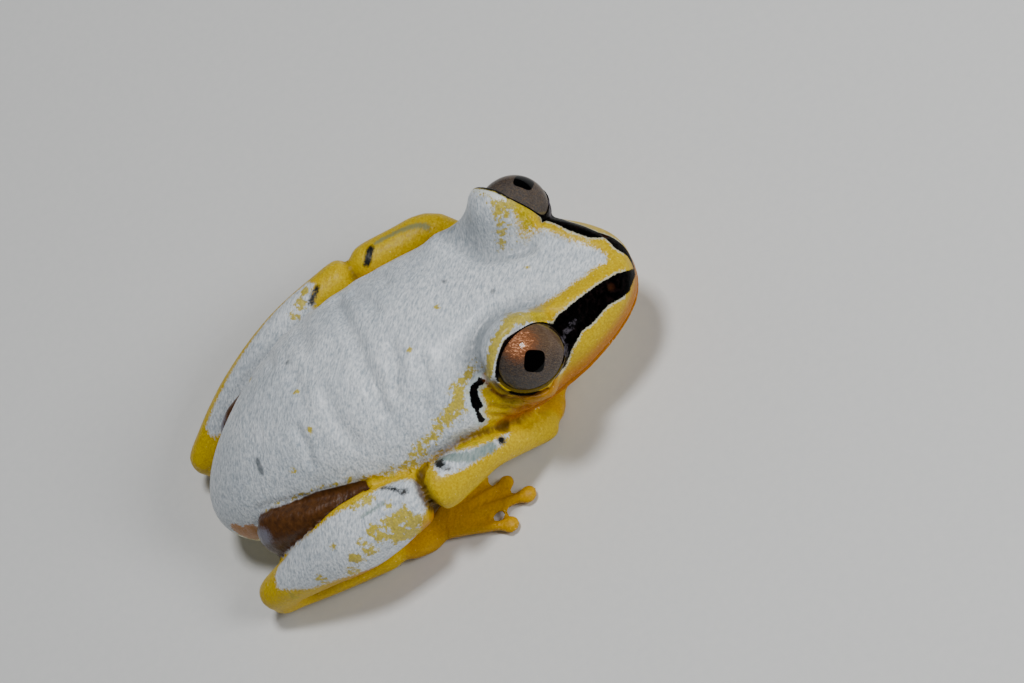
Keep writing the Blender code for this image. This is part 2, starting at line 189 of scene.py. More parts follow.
# %% A plug in each eye socket
for mirror in ((1, 1, 1), (-1, 1, 1)):
    eye, tip = posed(np.array((EYE_CENTRE, EYE_CENTRE + EYE_AXIS)) * mirror)
    axis = tip - eye
    bpy.ops.object.select_all(action="DESELECT")
    bpy.ops.mesh.primitive_ico_sphere_add(subdivisions=5, radius=EYE_RADIUS + LID_THICKNESS,
                                          location=eye)
    plug = bpy.context.object
    bpy.ops.object.transform_apply(location=True, rotation=True, scale=True)
    with edit_mode():
        bpy.ops.mesh.select_all(action="SELECT")
        bpy.ops.mesh.bisect(plane_co=eye + axis * LID_REACH, plane_no=axis, use_fill=True,
                            clear_outer=True)
    only(skin)
    plug.select_set(True)
    bpy.ops.object.join()
print("plugged both sockets,", len(skin.data.vertices), "points")

# %% Swell, remesh, shrink
for kind, settings in (("DISPLACE", {"strength": SWELL, "mid_level": 0}),
                       ("REMESH", {"mode": "VOXEL", "voxel_size": VOXEL}),
                       ("DISPLACE", {"strength": -SWELL, "mid_level": 0})):
    modifier = skin.modifiers.new(kind, kind)
    for key, value in settings.items():
        setattr(modifier, key, value)
    only(skin)
    bpy.ops.object.modifier_apply(modifier=modifier.name)
print("one skin,", len(skin.data.polygons), "faces")


def keep_largest(obj):
    """Drops closed pockets that the gaps left inside."""
    bm = bmesh.new()
    bm.from_mesh(obj.data)
    left = set(bm.verts)
    groups = []
    while left:
        group, edge = [], [left.pop()]
        while edge:
            vertex = edge.pop()
            group.append(vertex)
            for link in vertex.link_edges:
                other = link.other_vert(vertex)
                if other in left:
                    left.discard(other)
                    edge.append(other)
        groups.append(group)
    groups.sort(key=len)
    for group in groups[:-1]:
        bmesh.ops.delete(bm, geom=group, context="VERTS")
    bm.to_mesh(obj.data)
    bm.free()
    return len(groups) - 1


print("pockets removed:", keep_largest(skin))

# %% [markdown]
# ## Finer faces where people look
# Lids, lips and the wrinkles behind the jaw are finer than anything on the body. Only the
# faces round them are divided once more, to about 0.1 mm, so the skin stays light.

# %% Places on the head
MOUTH_FRONT, MOUTH_DROP, MOUTH_CURVE = 4.95, 0.9, 1.5
MOUTH_MIDDLE = -5.9
MOUTH_SPREAD = 97


def places(obj):
    """The object's points as an array."""
    flat = np.empty(len(obj.data.vertices) * 3)
    obj.data.vertices.foreach_get("co", flat)
    return flat.reshape(-1, 3)


def put_back(obj, points):
    """Writes an array of points to the object."""
    obj.data.vertices.foreach_set("co", points.ravel())
    obj.data.update()


def swapped(points, side):
    """The points with left and right changed over where the side is -1."""
    return points * np.stack((side, np.ones(len(side)), np.ones(len(side))), axis=1)


def mirrored(points):
    """The points on a straight frog's left, and which side each came from."""
    straight = straightened(points)
    side = np.where(straight[:, 0] < 0, -1.0, 1.0)
    return swapped(straight, side), side


def mouth_place(half):
    """Height above the mouth line, and degrees left before the mouth's corner."""
    angle = np.degrees(np.arctan2(half[:, 0], MOUTH_MIDDLE - half[:, 1]))
    share = np.clip(angle / MOUTH_SPREAD, 0, 1)
    return half[:, 2] - MOUTH_FRONT + MOUTH_DROP * share ** MOUTH_CURVE, MOUTH_SPREAD - angle


probe = np.array(((0.0, -17.0, MOUTH_FRONT),))
print("the mouth's front, mm above the line:", mouth_place(probe)[0][0])

# %% Subdividing the lids, the mouth and the cheeks
HEAD_REAR = -5.2
half, side = mirrored(places(skin))
from_eye = half - EYE_CENTRE
eye_reach = from_eye @ EYE_AXIS
eye_radial = np.linalg.norm(from_eye - eye_reach[:, None] * EYE_AXIS, axis=1)
above_mouth, to_corner = mouth_place(half)
x, y, z = half.T
lids = (np.linalg.norm(from_eye, axis=1) < 3.6) & (eye_reach > -0.7) & (eye_radial > 1.8)
lips = (np.abs(above_mouth) < 0.6) & (to_corner > -4) & (y < -7) & (z > 3.5)
cheek = (x > 4.5) & (y > -10.5) & (y < HEAD_REAR) & (z > 3) & (z < 7.5)
fine = lids | lips | cheek
only(skin)
for polygon in skin.data.polygons:
    polygon.select = bool(fine[list(polygon.vertices)].all())
with edit_mode():
    bpy.ops.mesh.select_mode(type="FACE")
    bpy.ops.mesh.subdivide(number_cuts=1)
skin.data.calc_loop_triangles()
print("after subdivision:", len(skin.data.loop_triangles), "triangles")

# %% [markdown]
# ## Which solid lies under each point
# Colours and softness follow the anatomy, so every point of the skin is told which solid is
# nearest. Softening moves each point towards the middle of its neighbours. The trunk takes
# many rounds, because its solid is made of flat facets, and the fingers only a few.

# %% Neighbours and regions
edges = np.empty(len(skin.data.edges) * 2, dtype=np.int64)
skin.data.edges.foreach_get("vertices", edges)
edges = edges.reshape(-1, 2)
count = len(skin.data.vertices)
degree = np.bincount(edges.ravel(), minlength=count).astype(float)


def neighbour_mean(values):
    """For each point, the mean of a value over the points joined to it."""
    flat = values.reshape(count, -1)
    total = np.empty_like(flat)
    for column in range(flat.shape[1]):
        total[:, column] = np.bincount(edges[:, 0], flat[edges[:, 1], column], count)
        total[:, column] += np.bincount(edges[:, 1], flat[edges[:, 0], column], count)
    return (total / degree[:, None]).reshape(values.shape)


def softened(values, rounds, share=0.5):
    """The values after rounds of moving towards their neighbours' mean."""
    values = values.astype(float)
    share = share[:, None] if np.ndim(share) and values.ndim > 1 else share
    for _ in range(rounds):
        values = values + share * (neighbour_mean(values) - values)
    return values


points = places(skin)
under = np.array([owner[solid_tree.find_nearest(Vector(p))[2]] for p in points])
region = {name: under == index for index, name in enumerate(flesh)}
for kind in ("upper_arm", "forearm", "hand", "thigh", "shank", "tarsus", "foot"):
    region[kind] = region[kind + "_left"] | region[kind + "_right"]
print({name: int(mask.sum()) for name, mask in region.items()})

# %% Softening the facets
NECK_LENGTH = 2.0
trunk = softened(region["torso"] | region["head"], 6)
digits = softened(region["hand"] | region["foot"], 3)
straight = straightened(points)
head_share = np.clip((HEAD_REAR + NECK_LENGTH - straight[:, 1]) / NECK_LENGTH, 0, 1)
points = softened(points, 6, 0.5 * (1 - 0.6 * digits))
smooth_trunk = np.clip((trunk - 0.85) / 0.15, 0, 1) * (1 - 0.75 * head_share)
points = softened(points, 60, 0.5 * smooth_trunk)
print("largest move, mm:", round(float(np.abs(points - places(skin)).max()), 2))
put_back(skin, points)

# %% [markdown]
# ## Charts for painting
# Patterns are drawn on flat charts, in millimetres, as a painter would draw them on paper
# before masking a model. The trunk's chart looks at the frog's right side from above, and
# the left side uses its mirror. Each limb has a chart of its own, unrolled from its bone
# line: how far along it, and how far around from the line that faces up and out. Close to
# the bone, or far from it, the chart is unrolled as from a limb of normal thickness.

# %% The bones of the limbs, in millimetres
JOINTS = {
    "left": {"elbow": (10.1, -0.5, 5.1), "wrist": (8.3, -7.4, 1.5), "hip": (4.4, 11.6, 4.2),
             "knee": (10.05, 1.2, 5.4), "heel": (6.1, 15.7, 2.4), "ankle": (8.9, 7.2, 1.5)},
    "right": {"elbow": (-9.3, 0.75, 5.4), "wrist": (-6.7, -6.1, 1.5), "hip": (-4.4, 11.6, 4.6),
              "knee": (-8.8, 2.4, 5.6), "heel": (-7.0, 14.6, 2.5), "ankle": (-8.4, 6.9, 1.5)},
}
BONES = {"forearm": ("elbow", "wrist"), "shank": ("knee", "heel"), "thigh": ("hip", "knee"),
         "tarsus": ("heel", "ankle")}
TOP_AND_OUT = {"forearm": (0.5, 0.0, 0.85), "shank": (0.55, 0.1, 0.8),
               "thigh": (0.3, 0.1, 0.9), "tarsus": (0.9, 0.1, 0.3)}
THINNEST, THICKEST = 0.8, 3.0
print("bones of each side:", ", ".join(BONES))

# %% The two kinds of chart
def trunk_chart(points):
    """Where points of the trunk fall on its chart: ahead, then up."""
    seen = straightened(points)
    seen[:, 0] = -np.abs(seen[:, 0])
    seen = posed(seen)
    nearness = CAMERA_DISTANCE / (CAMERA_DISTANCE - seen @ VIEW_BACK)
    return np.stack((seen @ VIEW_RIGHT * nearness, seen @ VIEW_UP * nearness), axis=1)


def limb_chart(points, kind, side):
    """Where points of a limb fall on its chart: along the bone, then around it."""
    sign = 1 if side == "left" else -1
    start, end = (np.array(JOINTS[side][name]) for name in BONES[kind])
    along = (end - start) / np.linalg.norm(end - start)
    out = np.array(TOP_AND_OUT[kind]) * (sign, 1, 1)
    out = out - out @ along * along
    out /= np.linalg.norm(out)
    across = sign * np.cross(along, out)
    offset = points - start
    radius = np.linalg.norm(offset - (offset @ along)[:, None] * along, axis=1)
    around = np.arctan2(offset @ across, offset @ out)
    return np.stack((offset @ along, around * np.clip(radius, THINNEST, THICKEST)), axis=1)


print("the eye on the trunk's chart, mm:", trunk_chart(posed(EYE_CENTRE[None])).round(2)[0])

# %% [markdown]
# ## Sculpting the folds
# A voxel remesh leaves soft, doll-like forms. What makes it skin are the lids that hug the
# eye, the line of the mouth, the nostrils, the wrinkles behind the jaw and the loose folds
# of the flank. Most are lines drawn on a chart, and every point near a line is pushed in
# along its normal, which is what a sculptor's crease tool does.

# %% Distances on a chart
def spot_distance(where, spot):
    """How far each place is from one spot."""
    return np.linalg.norm(where - spot, axis=1)


def line_distance(where, line):
    """How far each place is from an open line through some points."""
    nearest = np.full(len(where), 1e9)
    for a, b in zip(np.array(line)[:-1], np.array(line)[1:]):
        share = np.clip((where - a) @ (b - a) / ((b - a) @ (b - a)), 0, 1)
        nearest = np.minimum(nearest, spot_distance(where, a + share[:, None] * (b - a)))
    return nearest


def outline_distance(where, outline):
    """How deep each place lies inside a closed outline, negative outside it."""
    inside = np.zeros(len(where), dtype=bool)
    for (ax, ay), (bx, by) in zip(outline, outline[1:] + outline[:1]):
        crosses = (ay > where[:, 1]) != (by > where[:, 1])
        slope = (bx - ax) / (by - ay) if by != ay else 0.0
        inside ^= crosses & (where[:, 0] < ax + (where[:, 1] - ay) * slope)
    far = line_distance(where, outline + outline[:1])
    return np.where(inside, far, -far)


print("3 mm aside and 4 mm up:", spot_distance(np.array(((3.0, 4.0),)), (0, 0))[0], "mm away")

# %% Soft shapes and moves
def bump_at(distance, width):
    """1 on a line or spot, falling softly to 0 at about twice the width."""
    return np.exp(-(distance / width) ** 2)


def step(values, low, high):
    """0 below low, 1 above high, with a soft rise between."""
    share = np.clip((values - low) / (high - low), 0, 1)
    return share * share * (3 - 2 * share)


def raised(points, height):
    """The points moved out along the skin's normals, or in where the height is negative."""
    flat = np.empty(count * 3)
    skin.data.vertices.foreach_get("normal", flat)
    return points + flat.reshape(-1, 3) * height[:, None]


def tree_of(names):
    """The surfaces of some of the solids."""
    return BVHTree.FromPolygons(corners, [face for face, index in zip(faces, owner)
                                          if flesh[index] in names])


def gaps(tree, chosen, limit):
    """How far the chosen points are from some solids, and the limit for all that are farther."""
    found = np.full(count, limit)
    for index in np.flatnonzero(chosen):
        gap = tree.find_nearest(Vector(points[index]), limit)[3]
        found[index] = limit if gap is None else gap
    return found


print("at its width a bump is", round(float(bump_at(1, 1)), 2), "and half way a step is", step(0.5, 0, 1))

# %% [markdown]
# ### Almond eyelids
# The sockets were cut as circles, but a frog's lids open as an almond, long from the front
# corner to the rear one, and the lower lid covers more of the eye than the upper one does.
# Points of the lids slide round the eyeball, each by how far the almond lies from the circle
# in its direction.

# %% The almond of the lids
is_trunk = region["torso"] | region["head"]
LID_CORNERS = math.sin(math.radians(80))
UPPER_LID, LOWER_LID = math.sin(math.radians(53)), math.sin(math.radians(46))
ROUND_LID = math.acos(LID_REACH / EYE_RADIUS)
LID_RING = EYE_RADIUS * math.sin(ROUND_LID)
lid_long = np.array((-0.54, -0.84, -0.02))
lid_long -= lid_long @ EYE_AXIS * EYE_AXIS
lid_long /= np.linalg.norm(lid_long)
lid_down = np.cross(EYE_AXIS, lid_long)
half, side = mirrored(points)
lid = half - EYE_CENTRE
reach = lid @ EYE_AXIS
aside = lid - reach[:, None] * EYE_AXIS
radial = np.maximum(np.linalg.norm(aside, axis=1), 1e-6)
ball_radius = np.linalg.norm(lid, axis=1)
polar = np.arctan2(radial, reach)
ahead, below = lid @ lid_long / radial, lid @ lid_down / radial
lid_height = np.where(below > 0, LOWER_LID, UPPER_LID)
almond = np.arcsin(1 / np.sqrt((ahead / LID_CORNERS) ** 2 + (below / lid_height) ** 2))
slide = (almond - ROUND_LID) * step(polar, 0.2, 0.7) * (1 - step(polar, 1.35, 1.95))
slide *= region["head"] * (1 - step(ball_radius, 2.95, 3.7))
print("lids slid by up to mm:", round(float(np.abs(slide * EYE_RADIUS).max()), 2))

# %% [markdown]
# ### Thin lids and a raised brow
# A lid is thin near its margin, and in front of the eye it hugs the ball. Above the eye a
# low ridge follows the upper lid, and behind it the brow stands up like a small crest.

# %% Thin lids and a raised brow
FRONT_OF_BALL = np.array((0.12, -0.93, -0.34))
REAR_OF_BROW = np.array((0.03, 0.52, 0.85))
THINNED, FILM = 0.16, 0.03
RIDGE, CREST = 0.16, 0.31
off_lid = radial - LID_RING
on_lid = region["head"] * (ball_radius < 3.5) * (reach > -1.2)
from_ball = lid / ball_radius[:, None]
hugging = step(from_ball @ FRONT_OF_BALL, 0.42, 0.80) * (1 - step(ball_radius, 3.2, 4.2))
thin_lid = ball_radius - THINNED * bump_at(off_lid - 0.4, 0.32) * region["head"]
thin_lid -= 0.95 * np.maximum(thin_lid - EYE_RADIUS - FILM, 0) * hugging * region["head"]
brow = RIDGE * bump_at(off_lid - 0.95, 0.5) * step(-below, -0.1, 0.6) * (reach > -0.5)
rear = step(from_ball @ REAR_OF_BROW, 0.4, 0.9) * step(off_lid, 0.0, 0.5)
brow += CREST * rear * step(reach, -1.0, 0.2) * (1 - step(ball_radius, 3.3, 4.2))
brow *= region["head"]
turned = np.cos(polar + slide)[:, None] * EYE_AXIS
turned += (np.sin(polar + slide) / radial)[:, None] * aside
new_lid = EYE_CENTRE + thin_lid[:, None] * turned + brow[:, None] * EYE_AXIS
moved = (np.abs(slide) > 1e-6) | (thin_lid < ball_radius - 1e-6) | (brow > 1e-6)
points = np.where(moved[:, None], posed(swapped(new_lid, side)), points)
put_back(skin, points)
print("lid points moved:", int(moved.sum()))

# %% [markdown]
# ### Creases, a valley and a shoulder
# The skin of the back creases across where the body bends, and under the eye fine wrinkles
# run back from the jaw. A shallow valley lies inside each brow. The left shoulder bulges
# towards the back, because its arm is folded under it.

# %% Creases of the back and flank, and wrinkles behind the jaw
BODY_CREASES = (
    # line on the trunk's chart, depth, width
    (((-6.0, 5.0), (-5.4, 3.2), (-4.7, 1.8), (-4.1, 0.2)), 0.34, 0.50),
    (((-3.6, 4.4), (-3.3, 2.8), (-3.4, 1.4)), 0.26, 0.42),
    (((-8.0, 1.4), (-7.2, -0.6), (-6.2, -2.0)), 0.22, 0.60),
    (((-9.9, -1.0), (-9.2, -2.2), (-9.0, -3.2)), 0.18, 0.32),
    (((-10.6, 3.0), (-9.6, 1.4), (-9.3, 0.2)), 0.12, 0.5),
    (((-1.6, 3.4), (-1.2, 2.0), (-1.5, 0.4)), 0.2, 0.4),
)
JAW_WRINKLES = (
    (((2.28, 2.41), (2.64, 1.93), (3.08, 1.37), (3.57, 1.05), (4.29, 0.89), (5.09, 0.93),
      (5.89, 1.17), (6.69, 1.61)), 0.28, 0.17),
    (((2.92, 0.49), (3.57, 0.33), (4.13, 0.41), (4.61, 0.21), (5.41, 0.41)), 0.18, 0.14),
    (((2.60, 0.0), (3.33, -0.16), (3.73, -0.12), (4.13, -0.32), (4.69, -0.24), (5.25, 0.0)),
     0.20, 0.15),
    (((2.7, -0.5), (3.4, -0.62), (4.2, -0.7), (5.0, -0.6)), 0.14, 0.15),
    (((2.62, 1.35), (2.9, 0.95), (3.2, 0.60)), 0.12, 0.13),
)
chart = trunk_chart(points)
upper = is_trunk * step(half[:, 2], 2.0, 3.2)
# Both depths later paint shade too: lightly in the creases of the back, fully in the wrinkles behind the
# jaw.
shaded_crease, wrinkle = (
    upper * sum(depth * bump_at(line_distance(chart, line), width) for line, depth, width in lines)
    for lines in (BODY_CREASES, JAW_WRINKLES))
print("deepest crease, mm:", round(float(shaded_crease.max()), 2))

# %% The valley inside each brow, and the swelling of the left shoulder
BROW_VALLEY = ((5.89, 7.50), (4.93, 7.46), (3.90, 7.14), (2.92, 6.62), (2.26, 5.90), (1.86, 5.06),
               (1.70, 4.17), (1.82, 3.37), (2.15, 2.73))
VALLEY_DEPTH, VALLEY_WIDTH = 0.40, 0.45
LEFT_SHOULDER = (4.8, -7.4, 8.9)
OUT_OF_SHOULDER = np.array((0.78, -0.11, 0.62))
SWELLING, SWELLING_WIDTH = 1.2, 1.6
valley = bump_at(line_distance(chart, BROW_VALLEY), VALLEY_WIDTH) * upper
points = raised(points, -(shaded_crease + wrinkle + VALLEY_DEPTH * valley))
swell = SWELLING * bump_at(spot_distance(points, LEFT_SHOULDER), SWELLING_WIDTH) * is_trunk
points = points + swell[:, None] * OUT_OF_SHOULDER
print("shoulder raised by mm:", round(float(swell.max()), 2))

# %% [markdown]
# ### Folds where the frog touches itself
# Where a folded limb lies on another part, the swollen solids ran together. In life the two
# skins only press on each other, with a deep fold between. Each point that is close to a
# part it only touches is pushed in. True joints are left smooth, and so is the place where
# the left knee presses on the elbow, which is smoothed first.

# %% Folds between touching parts
FOLDS = {("forearm", "shank"): 1.0, ("forearm", "torso"): 0.8, ("forearm", "head"): 0.6,
         ("shank", "torso"): 0.6, ("shank", "thigh"): 0.5, ("tarsus", "shank"): 0.9,
         ("tarsus", "thigh"): 0.35, ("foot", "shank"): 0.35, ("foot", "forearm"): 0.3,
         ("foot", "torso"): 0.3, ("hand", "head"): 0.3, ("thigh", "torso"): 0.40,
         ("upper_arm", "shank"): 0.35, ("tarsus", "torso"): 0.3}
FOLD_WIDTH, FOLD_REACH = 0.42, 1.2
SMOOTH_JOINTS = {("shank", "thigh"): ("knee", 2.2), ("tarsus", "shank"): ("heel", 1.7)}
LEFT_KNEE_ON_ELBOW = (10.2, 0.3, 5.6)
meeting = bump_at(spot_distance(points, LEFT_KNEE_ON_ELBOW), 1.2)
points = softened(points, 40, 0.5 * meeting)
trees = {kind: tree_of([name for name in flesh if name.startswith(kind)])
         for kind in {kind for pair in FOLDS for kind in pair}}
# Each fold's depth later also paints shade into it.
shaded_fold = np.zeros(count)
for pair, depth in FOLDS.items():
    for here, other in (pair, pair[::-1]):
        gap = gaps(trees[other], region[here], FOLD_REACH)
        push = depth * bump_at(gap, FOLD_WIDTH) * (gap < FOLD_REACH) * (1 - meeting)
        if pair in SMOOTH_JOINTS:
            joint, room = SMOOTH_JOINTS[pair]
            near = np.minimum(*(spot_distance(points, joints[joint]) for joints in JOINTS.values()))
            push *= np.clip(near - room, 0, 1)
        shaded_fold = np.maximum(shaded_fold, push)
shaded_fold = softened(shaded_fold, 1)
points = raised(points, -shaded_fold)
print("points in folds:", int((shaded_fold > 0.15).sum()), "deepest, mm:", round(float(shaded_fold.max()), 2))

# %% [markdown]
# ### Loose skin
# The skin of the flank hangs in soft rolls, here the product of a few slow waves. A double
# ridge over the pelvis and a fuller calf show the bones and muscles beneath.

# %% Rolls on the flank, a ridge over the pelvis and a fuller calf
ROLL_HEIGHT, CALF_HEIGHT, PELVIS_HEIGHT = 0.055, 0.4, 0.18
straight = straightened(points)
x, y, z = straight.T
flank = is_trunk * step(np.abs(x), 2.5, 5.5) * step(y, -4.0, -1.0)
rolls = np.sin(1.9 * y + 1.3 * z + 0.8 * side) * np.sin(0.9 * y - 1.7 * z + 1.0)
rolls = rolls * 0.6 + 0.4 * np.sin(3.1 * y + 0.7 * z * side + 2.0) * np.sin(2.3 * z + 0.5)
points = raised(points, ROLL_HEIGHT * rolls * flank)
along, around = limb_chart(points, "shank", "right").T
fuller = bump_at(around + 1.9, 0.8) * step(along, 1.0, 3.0) * (1 - step(along, 8.5, 10.5))
points = raised(points, CALF_HEIGHT * fuller * region["shank_right"])
pelvis = bump_at(np.abs(x) - 1.7, 0.9) * bump_at(y - 4.5, 2.4) * step(z, 8, 10)
points = raised(points, PELVIS_HEIGHT * pelvis * is_trunk)
print("highest roll, mm:", round(float((ROLL_HEIGHT * rolls * flank).max()), 3))

# %% [markdown]
# ### The face
# The mouth is a fine groove between two soft lips, and the chin goes in below them. Each
# nostril is a small pit with a raised ring. A round margin follows the lids, and a fold
# runs under the lower one. At the end nothing reaches below the ground.

# %% Mouth, nostrils and lid margins
NOSTRIL = (1.99, -16.22, 7.58)
above_mouth, to_corner = mouth_place(half)
nostril_at = spot_distance(half, NOSTRIL)
mouth = bump_at(above_mouth, 0.11) * step(to_corner, 0, 5) * region["head"]
lips = bump_at(np.abs(above_mouth) - 0.34, 0.2) * step(to_corner, 0, 12) * region["head"]
chin = step(-above_mouth, 0.1, 0.5) * step(1.8 + above_mouth, 0, 1.2) * step(to_corner, 0, 20)
lower = step(below - 0.35 * ahead, -0.1, 0.5)
RELIEF = (
    # shape, height in mm, negative where it goes in
    (mouth, -0.18), (lips, 0.03), (chin * region["head"], -0.24),
    (bump_at(nostril_at, 0.17), -0.20), (bump_at(nostril_at - 0.34, 0.13), 0.04),
    (on_lid * bump_at(off_lid - 0.10, 0.12), 0.07),
    (on_lid * bump_at(off_lid - 0.62, 0.12) * lower, -0.17),
)
points = raised(points, sum(height * shape for shape, height in RELIEF))
points = softened(points, 1, 0.35)
points[:, 2] = np.maximum(points[:, 2], 0)
put_back(skin, points)
print("forms of the face:", len(RELIEF))

# %% [markdown]
# ## Drawing the markings
# The back is a cool pearl white, made by stacked reflecting crystals over a yellow layer.
# Where the crystals stop, yellow shows: along the snout's edge, on the lips and cheeks, and
# in flecks on the brow, the flank and the shank. A black stripe runs from the snout's tip
# through the nostril to the eye, and a short ragged streak lies behind it. The outlines below
# are in millimetres on the charts. On the snout the two sides differ, and share a part.

# %% Outlines on the snout
STRIPE_AT_EYE = ((7.05, 5.94), (6.81, 6.02), (7.17, 5.06), (7.34, 3.93), (7.01, 2.65),
                 (7.34, 2.57), (7.90, 3.13))
SNOUT_STRIPE = {
    "right": (
        (12.51, 9.63), (11.26, 9.27), (10.14, 8.63), (8.18, 7.18), (7.90, 6.86), (7.46, 6.62),
        *STRIPE_AT_EYE, (8.38, 4.34), (9.10, 5.62), (9.58, 5.86), (10.70, 7.14),
        (11.75, 7.74), (12.15, 8.10), (12.53, 9.15)),
    "left": (
        (12.51, 9.63), (12.13, 9.50), (11.70, 9.57), (11.30, 9.42), (10.84, 8.72),
        (10.21, 8.78), (9.69, 8.66), (8.56, 7.90), (7.29, 6.58),
        *STRIPE_AT_EYE, (8.18, 3.77), (8.38, 4.60), (8.62, 5.20), (9.20, 6.40),
        (10.06, 7.60), (10.50, 8.00), (11.00, 8.10), (12.39, 8.80), (12.53, 9.15)),
}
UNDER_STRIPE = ((10.46, 11.55), (12.95, 11.55), (12.95, 9.31), (12.15, 8.42), (10.54, 7.62),
                (8.94, 6.34), (7.74, 5.22), (5.73, 6.10))
SNOUT_YELLOW = {
    "right": (*UNDER_STRIPE, (5.41, 6.90), (6.05, 7.10), (7.40, 7.90), (8.62, 8.83),
              (8.95, 8.95), (9.62, 9.55), (10.15, 9.85), (10.62, 9.96), (10.72, 10.40)),
    "left": (*UNDER_STRIPE, (5.17, 6.80), (6.38, 6.96), (7.04, 7.23), (8.38, 8.27),
             (10.60, 9.69), (10.72, 10.40)),
}
print("outlines on the snout:", len(SNOUT_STRIPE) + len(SNOUT_YELLOW))

# %% Outlines and lines on the cheek, the back and the flank
CHEEK_YELLOW = (
    (12.15, 8.83), (11.34, 8.18), (10.14, 7.38), (8.94, 6.02), (7.98, 4.74), (7.34, 3.61),
    (7.01, 2.65), (6.05, 2.33), (4.77, 2.41), (3.81, 2.65), (3.41, 2.01), (2.64, 2.21),
    (2.12, 1.61), (2.48, 0.49), (2.28, 0.17), (2.60, -0.40), (2.52, -0.76), (2.12, -1.04),
    (2.12, -4.41), (16.96, -4.41), (16.96, 10.03), (12.95, 9.79))
EYE_STREAK = (
    (2.20, 2.45), (2.64, 2.21), (2.56, 1.93), (2.24, 1.87), (2.08, 1.61), (2.14, 1.21),
    (2.48, 0.49), (2.16, 0.25), (2.59, -0.40), (2.44, -0.62), (2.14, -0.56), (1.88, 0.31),
    (1.68, 0.49), (1.52, 1.37), (1.64, 1.85), (2.03, 2.19))
THIGH_EDGE = ((-11.60, -6.45), (-8.68, -5.20), (-5.34, -4.35), (-4.90, -5.20), (-7.00, -7.40),
              (-11.60, -8.20))
TRUNK_MOTTLES = (
    # line, width, strength
    (((6.05, 6.50), (5.09, 6.34), (4.29, 6.30)), 0.52, 1.6),
    (((4.29, 6.30), (3.95, 5.70), (3.55, 4.98), (3.15, 4.20)), 0.58, 1.45),
    (((3.10, 4.10), (2.95, 3.37), (2.80, 2.45)), 0.42, 1.5),
    (((1.91, 3.25), (1.30, 2.44), (0.79, 1.43)), 0.60, 1.15),
    (((0.79, 1.43), (0.59, 0.32), (-0.10, -0.55)), 0.90, 1.3),
    (((-0.32, -0.80), (-1.44, -2.01), (-2.15, -2.93)), 0.75, 1.15),
    (((-2.15, -2.93), (-2.85, -3.69), (-4.17, -4.04)), 0.55, 1.2),
)
LID_CREASE = ((2.64, 2.09), (2.89, 1.69), (3.25, 1.37), (3.65, 1.21), (4.05, 1.25))
STRIPE_SMEAR = ((8.50, 6.20), (8.14, 5.70), (7.86, 5.06), (7.90, 4.42), (7.98, 3.90))
KNEE_SKIN = ((-5.25, -4.75), (-4.60, -4.50))
print("lines of flecks:", len(TRUNK_MOTTLES))

# %% Places on the posed body
GREY_DOTS = ((1.97, 5.57, 10.77), (1.06, -6.06, 10.06), (-1.53, -8.62, 9.67))
GREY_SMEAR = ((-2.22, 10.43, 9.12), (-2.87, 10.60, 8.71))
YELLOW_FLECKS = ((3.95, 8.83, 9.13), (-0.67, 5.71, 10.88), (-3.43, 6.11, 10.18),
                 (-2.58, -2.23, 10.55), (-4.22, 8.56, 8.77), (-1.06, -11.29, 9.28),
                 (-0.57, -5.03, 10.27))
VENT_ORANGE = ((-2.50, 14.80, 4.50), (-2.80, 14.60, 3.90), (-3.40, 14.00, 4.70))
VENT_LILAC = ((-4.20, 13.50, 4.90), (-5.30, 12.90, 5.95))
print("dots and flecks:", len(GREY_DOTS) + len(YELLOW_FLECKS))

# %% Outlines on the limbs: along the bone, then around it
PEARL = {
    "shank_right": (
        (-0.86, -0.75), (0.13, -1.43), (1.03, -1.84), (1.72, -1.68), (2.65, -1.59),
        (4.83, -1.82), (6.26, -1.74), (7.79, -1.81), (9.36, -1.75), (10.71, -1.40),
        (11.36, -0.79), (11.57, 0.02), (9.29, 1.35), (7.25, 1.98), (5.72, 2.60),
        (4.28, 3.30), (2.85, 3.75), (1.30, 2.95), (-0.34, 1.60), (-0.93, 0.48), (-1.18, -0.34)),
    "forearm_right": (
        (-0.31, 1.24), (0.21, 2.05), (0.79, 2.15), (1.29, 1.97), (1.66, 1.28), (2.27, 0.86),
        (3.15, 0.60), (5.19, 0.56), (4.40, 0.10), (3.37, -0.03), (1.25, -0.05), (0.42, 0.07),
        (-0.30, 0.34)),
    "shank_left": (
        (1.32, -0.88), (1.60, -0.20), (3.16, -0.12), (10.81, -0.74), (13.60, -0.80),
        (13.82, -1.67), (10.46, -2.80), (7.70, -2.80), (4.16, -2.60), (2.61, -2.20),
        (2.10, -1.50)),
}
print("outlines on the limbs:", len(PEARL))

# %% Lines and spots on the limbs
LIMB_LINES = (
    # field, solid, half width, line
    ("ink", "shank_right", 0.07, ((1.30, -1.66), (0.72, -1.22), (0.15, -0.63))),
    ("ink", "shank_right", 0.19, ((-0.14, -0.36), (-0.10, -0.36))),
    ("ink", "forearm_right", 0.24, ((0.13, 1.05), (0.20, 1.35), (0.36, 1.62))),
    ("ink", "forearm_right", 0.12, ((0.39, 2.00), (0.44, 2.05))),
    ("ink", "forearm_right", 0.10, ((0.21, 0.54), (0.40, 0.50))),
    ("ink", "forearm_right", 0.24, ((4.24, 0.30), (4.32, 0.32))),
    ("ink", "shank_left", 0.14, ((1.38, -1.24), (1.93, -1.54), (2.46, -1.78))),
    ("ink", "forearm_left", 0.24, ((0.21, 0.82), (0.05, 1.24), (-0.09, 1.60))),
    ("green", "forearm_left", 0.15, ((0.60, 0.60), (2.16, 0.47), (3.53, 0.58), (4.13, 0.71))),
    ("green", "forearm_right", 0.34, ((0.50, 1.90), (1.10, 0.90), (1.82, 0.40), (3.40, 0.24))),
    ("green", "shank_right", 0.10, ((2.83, -0.60), (1.29, -0.49))),
)
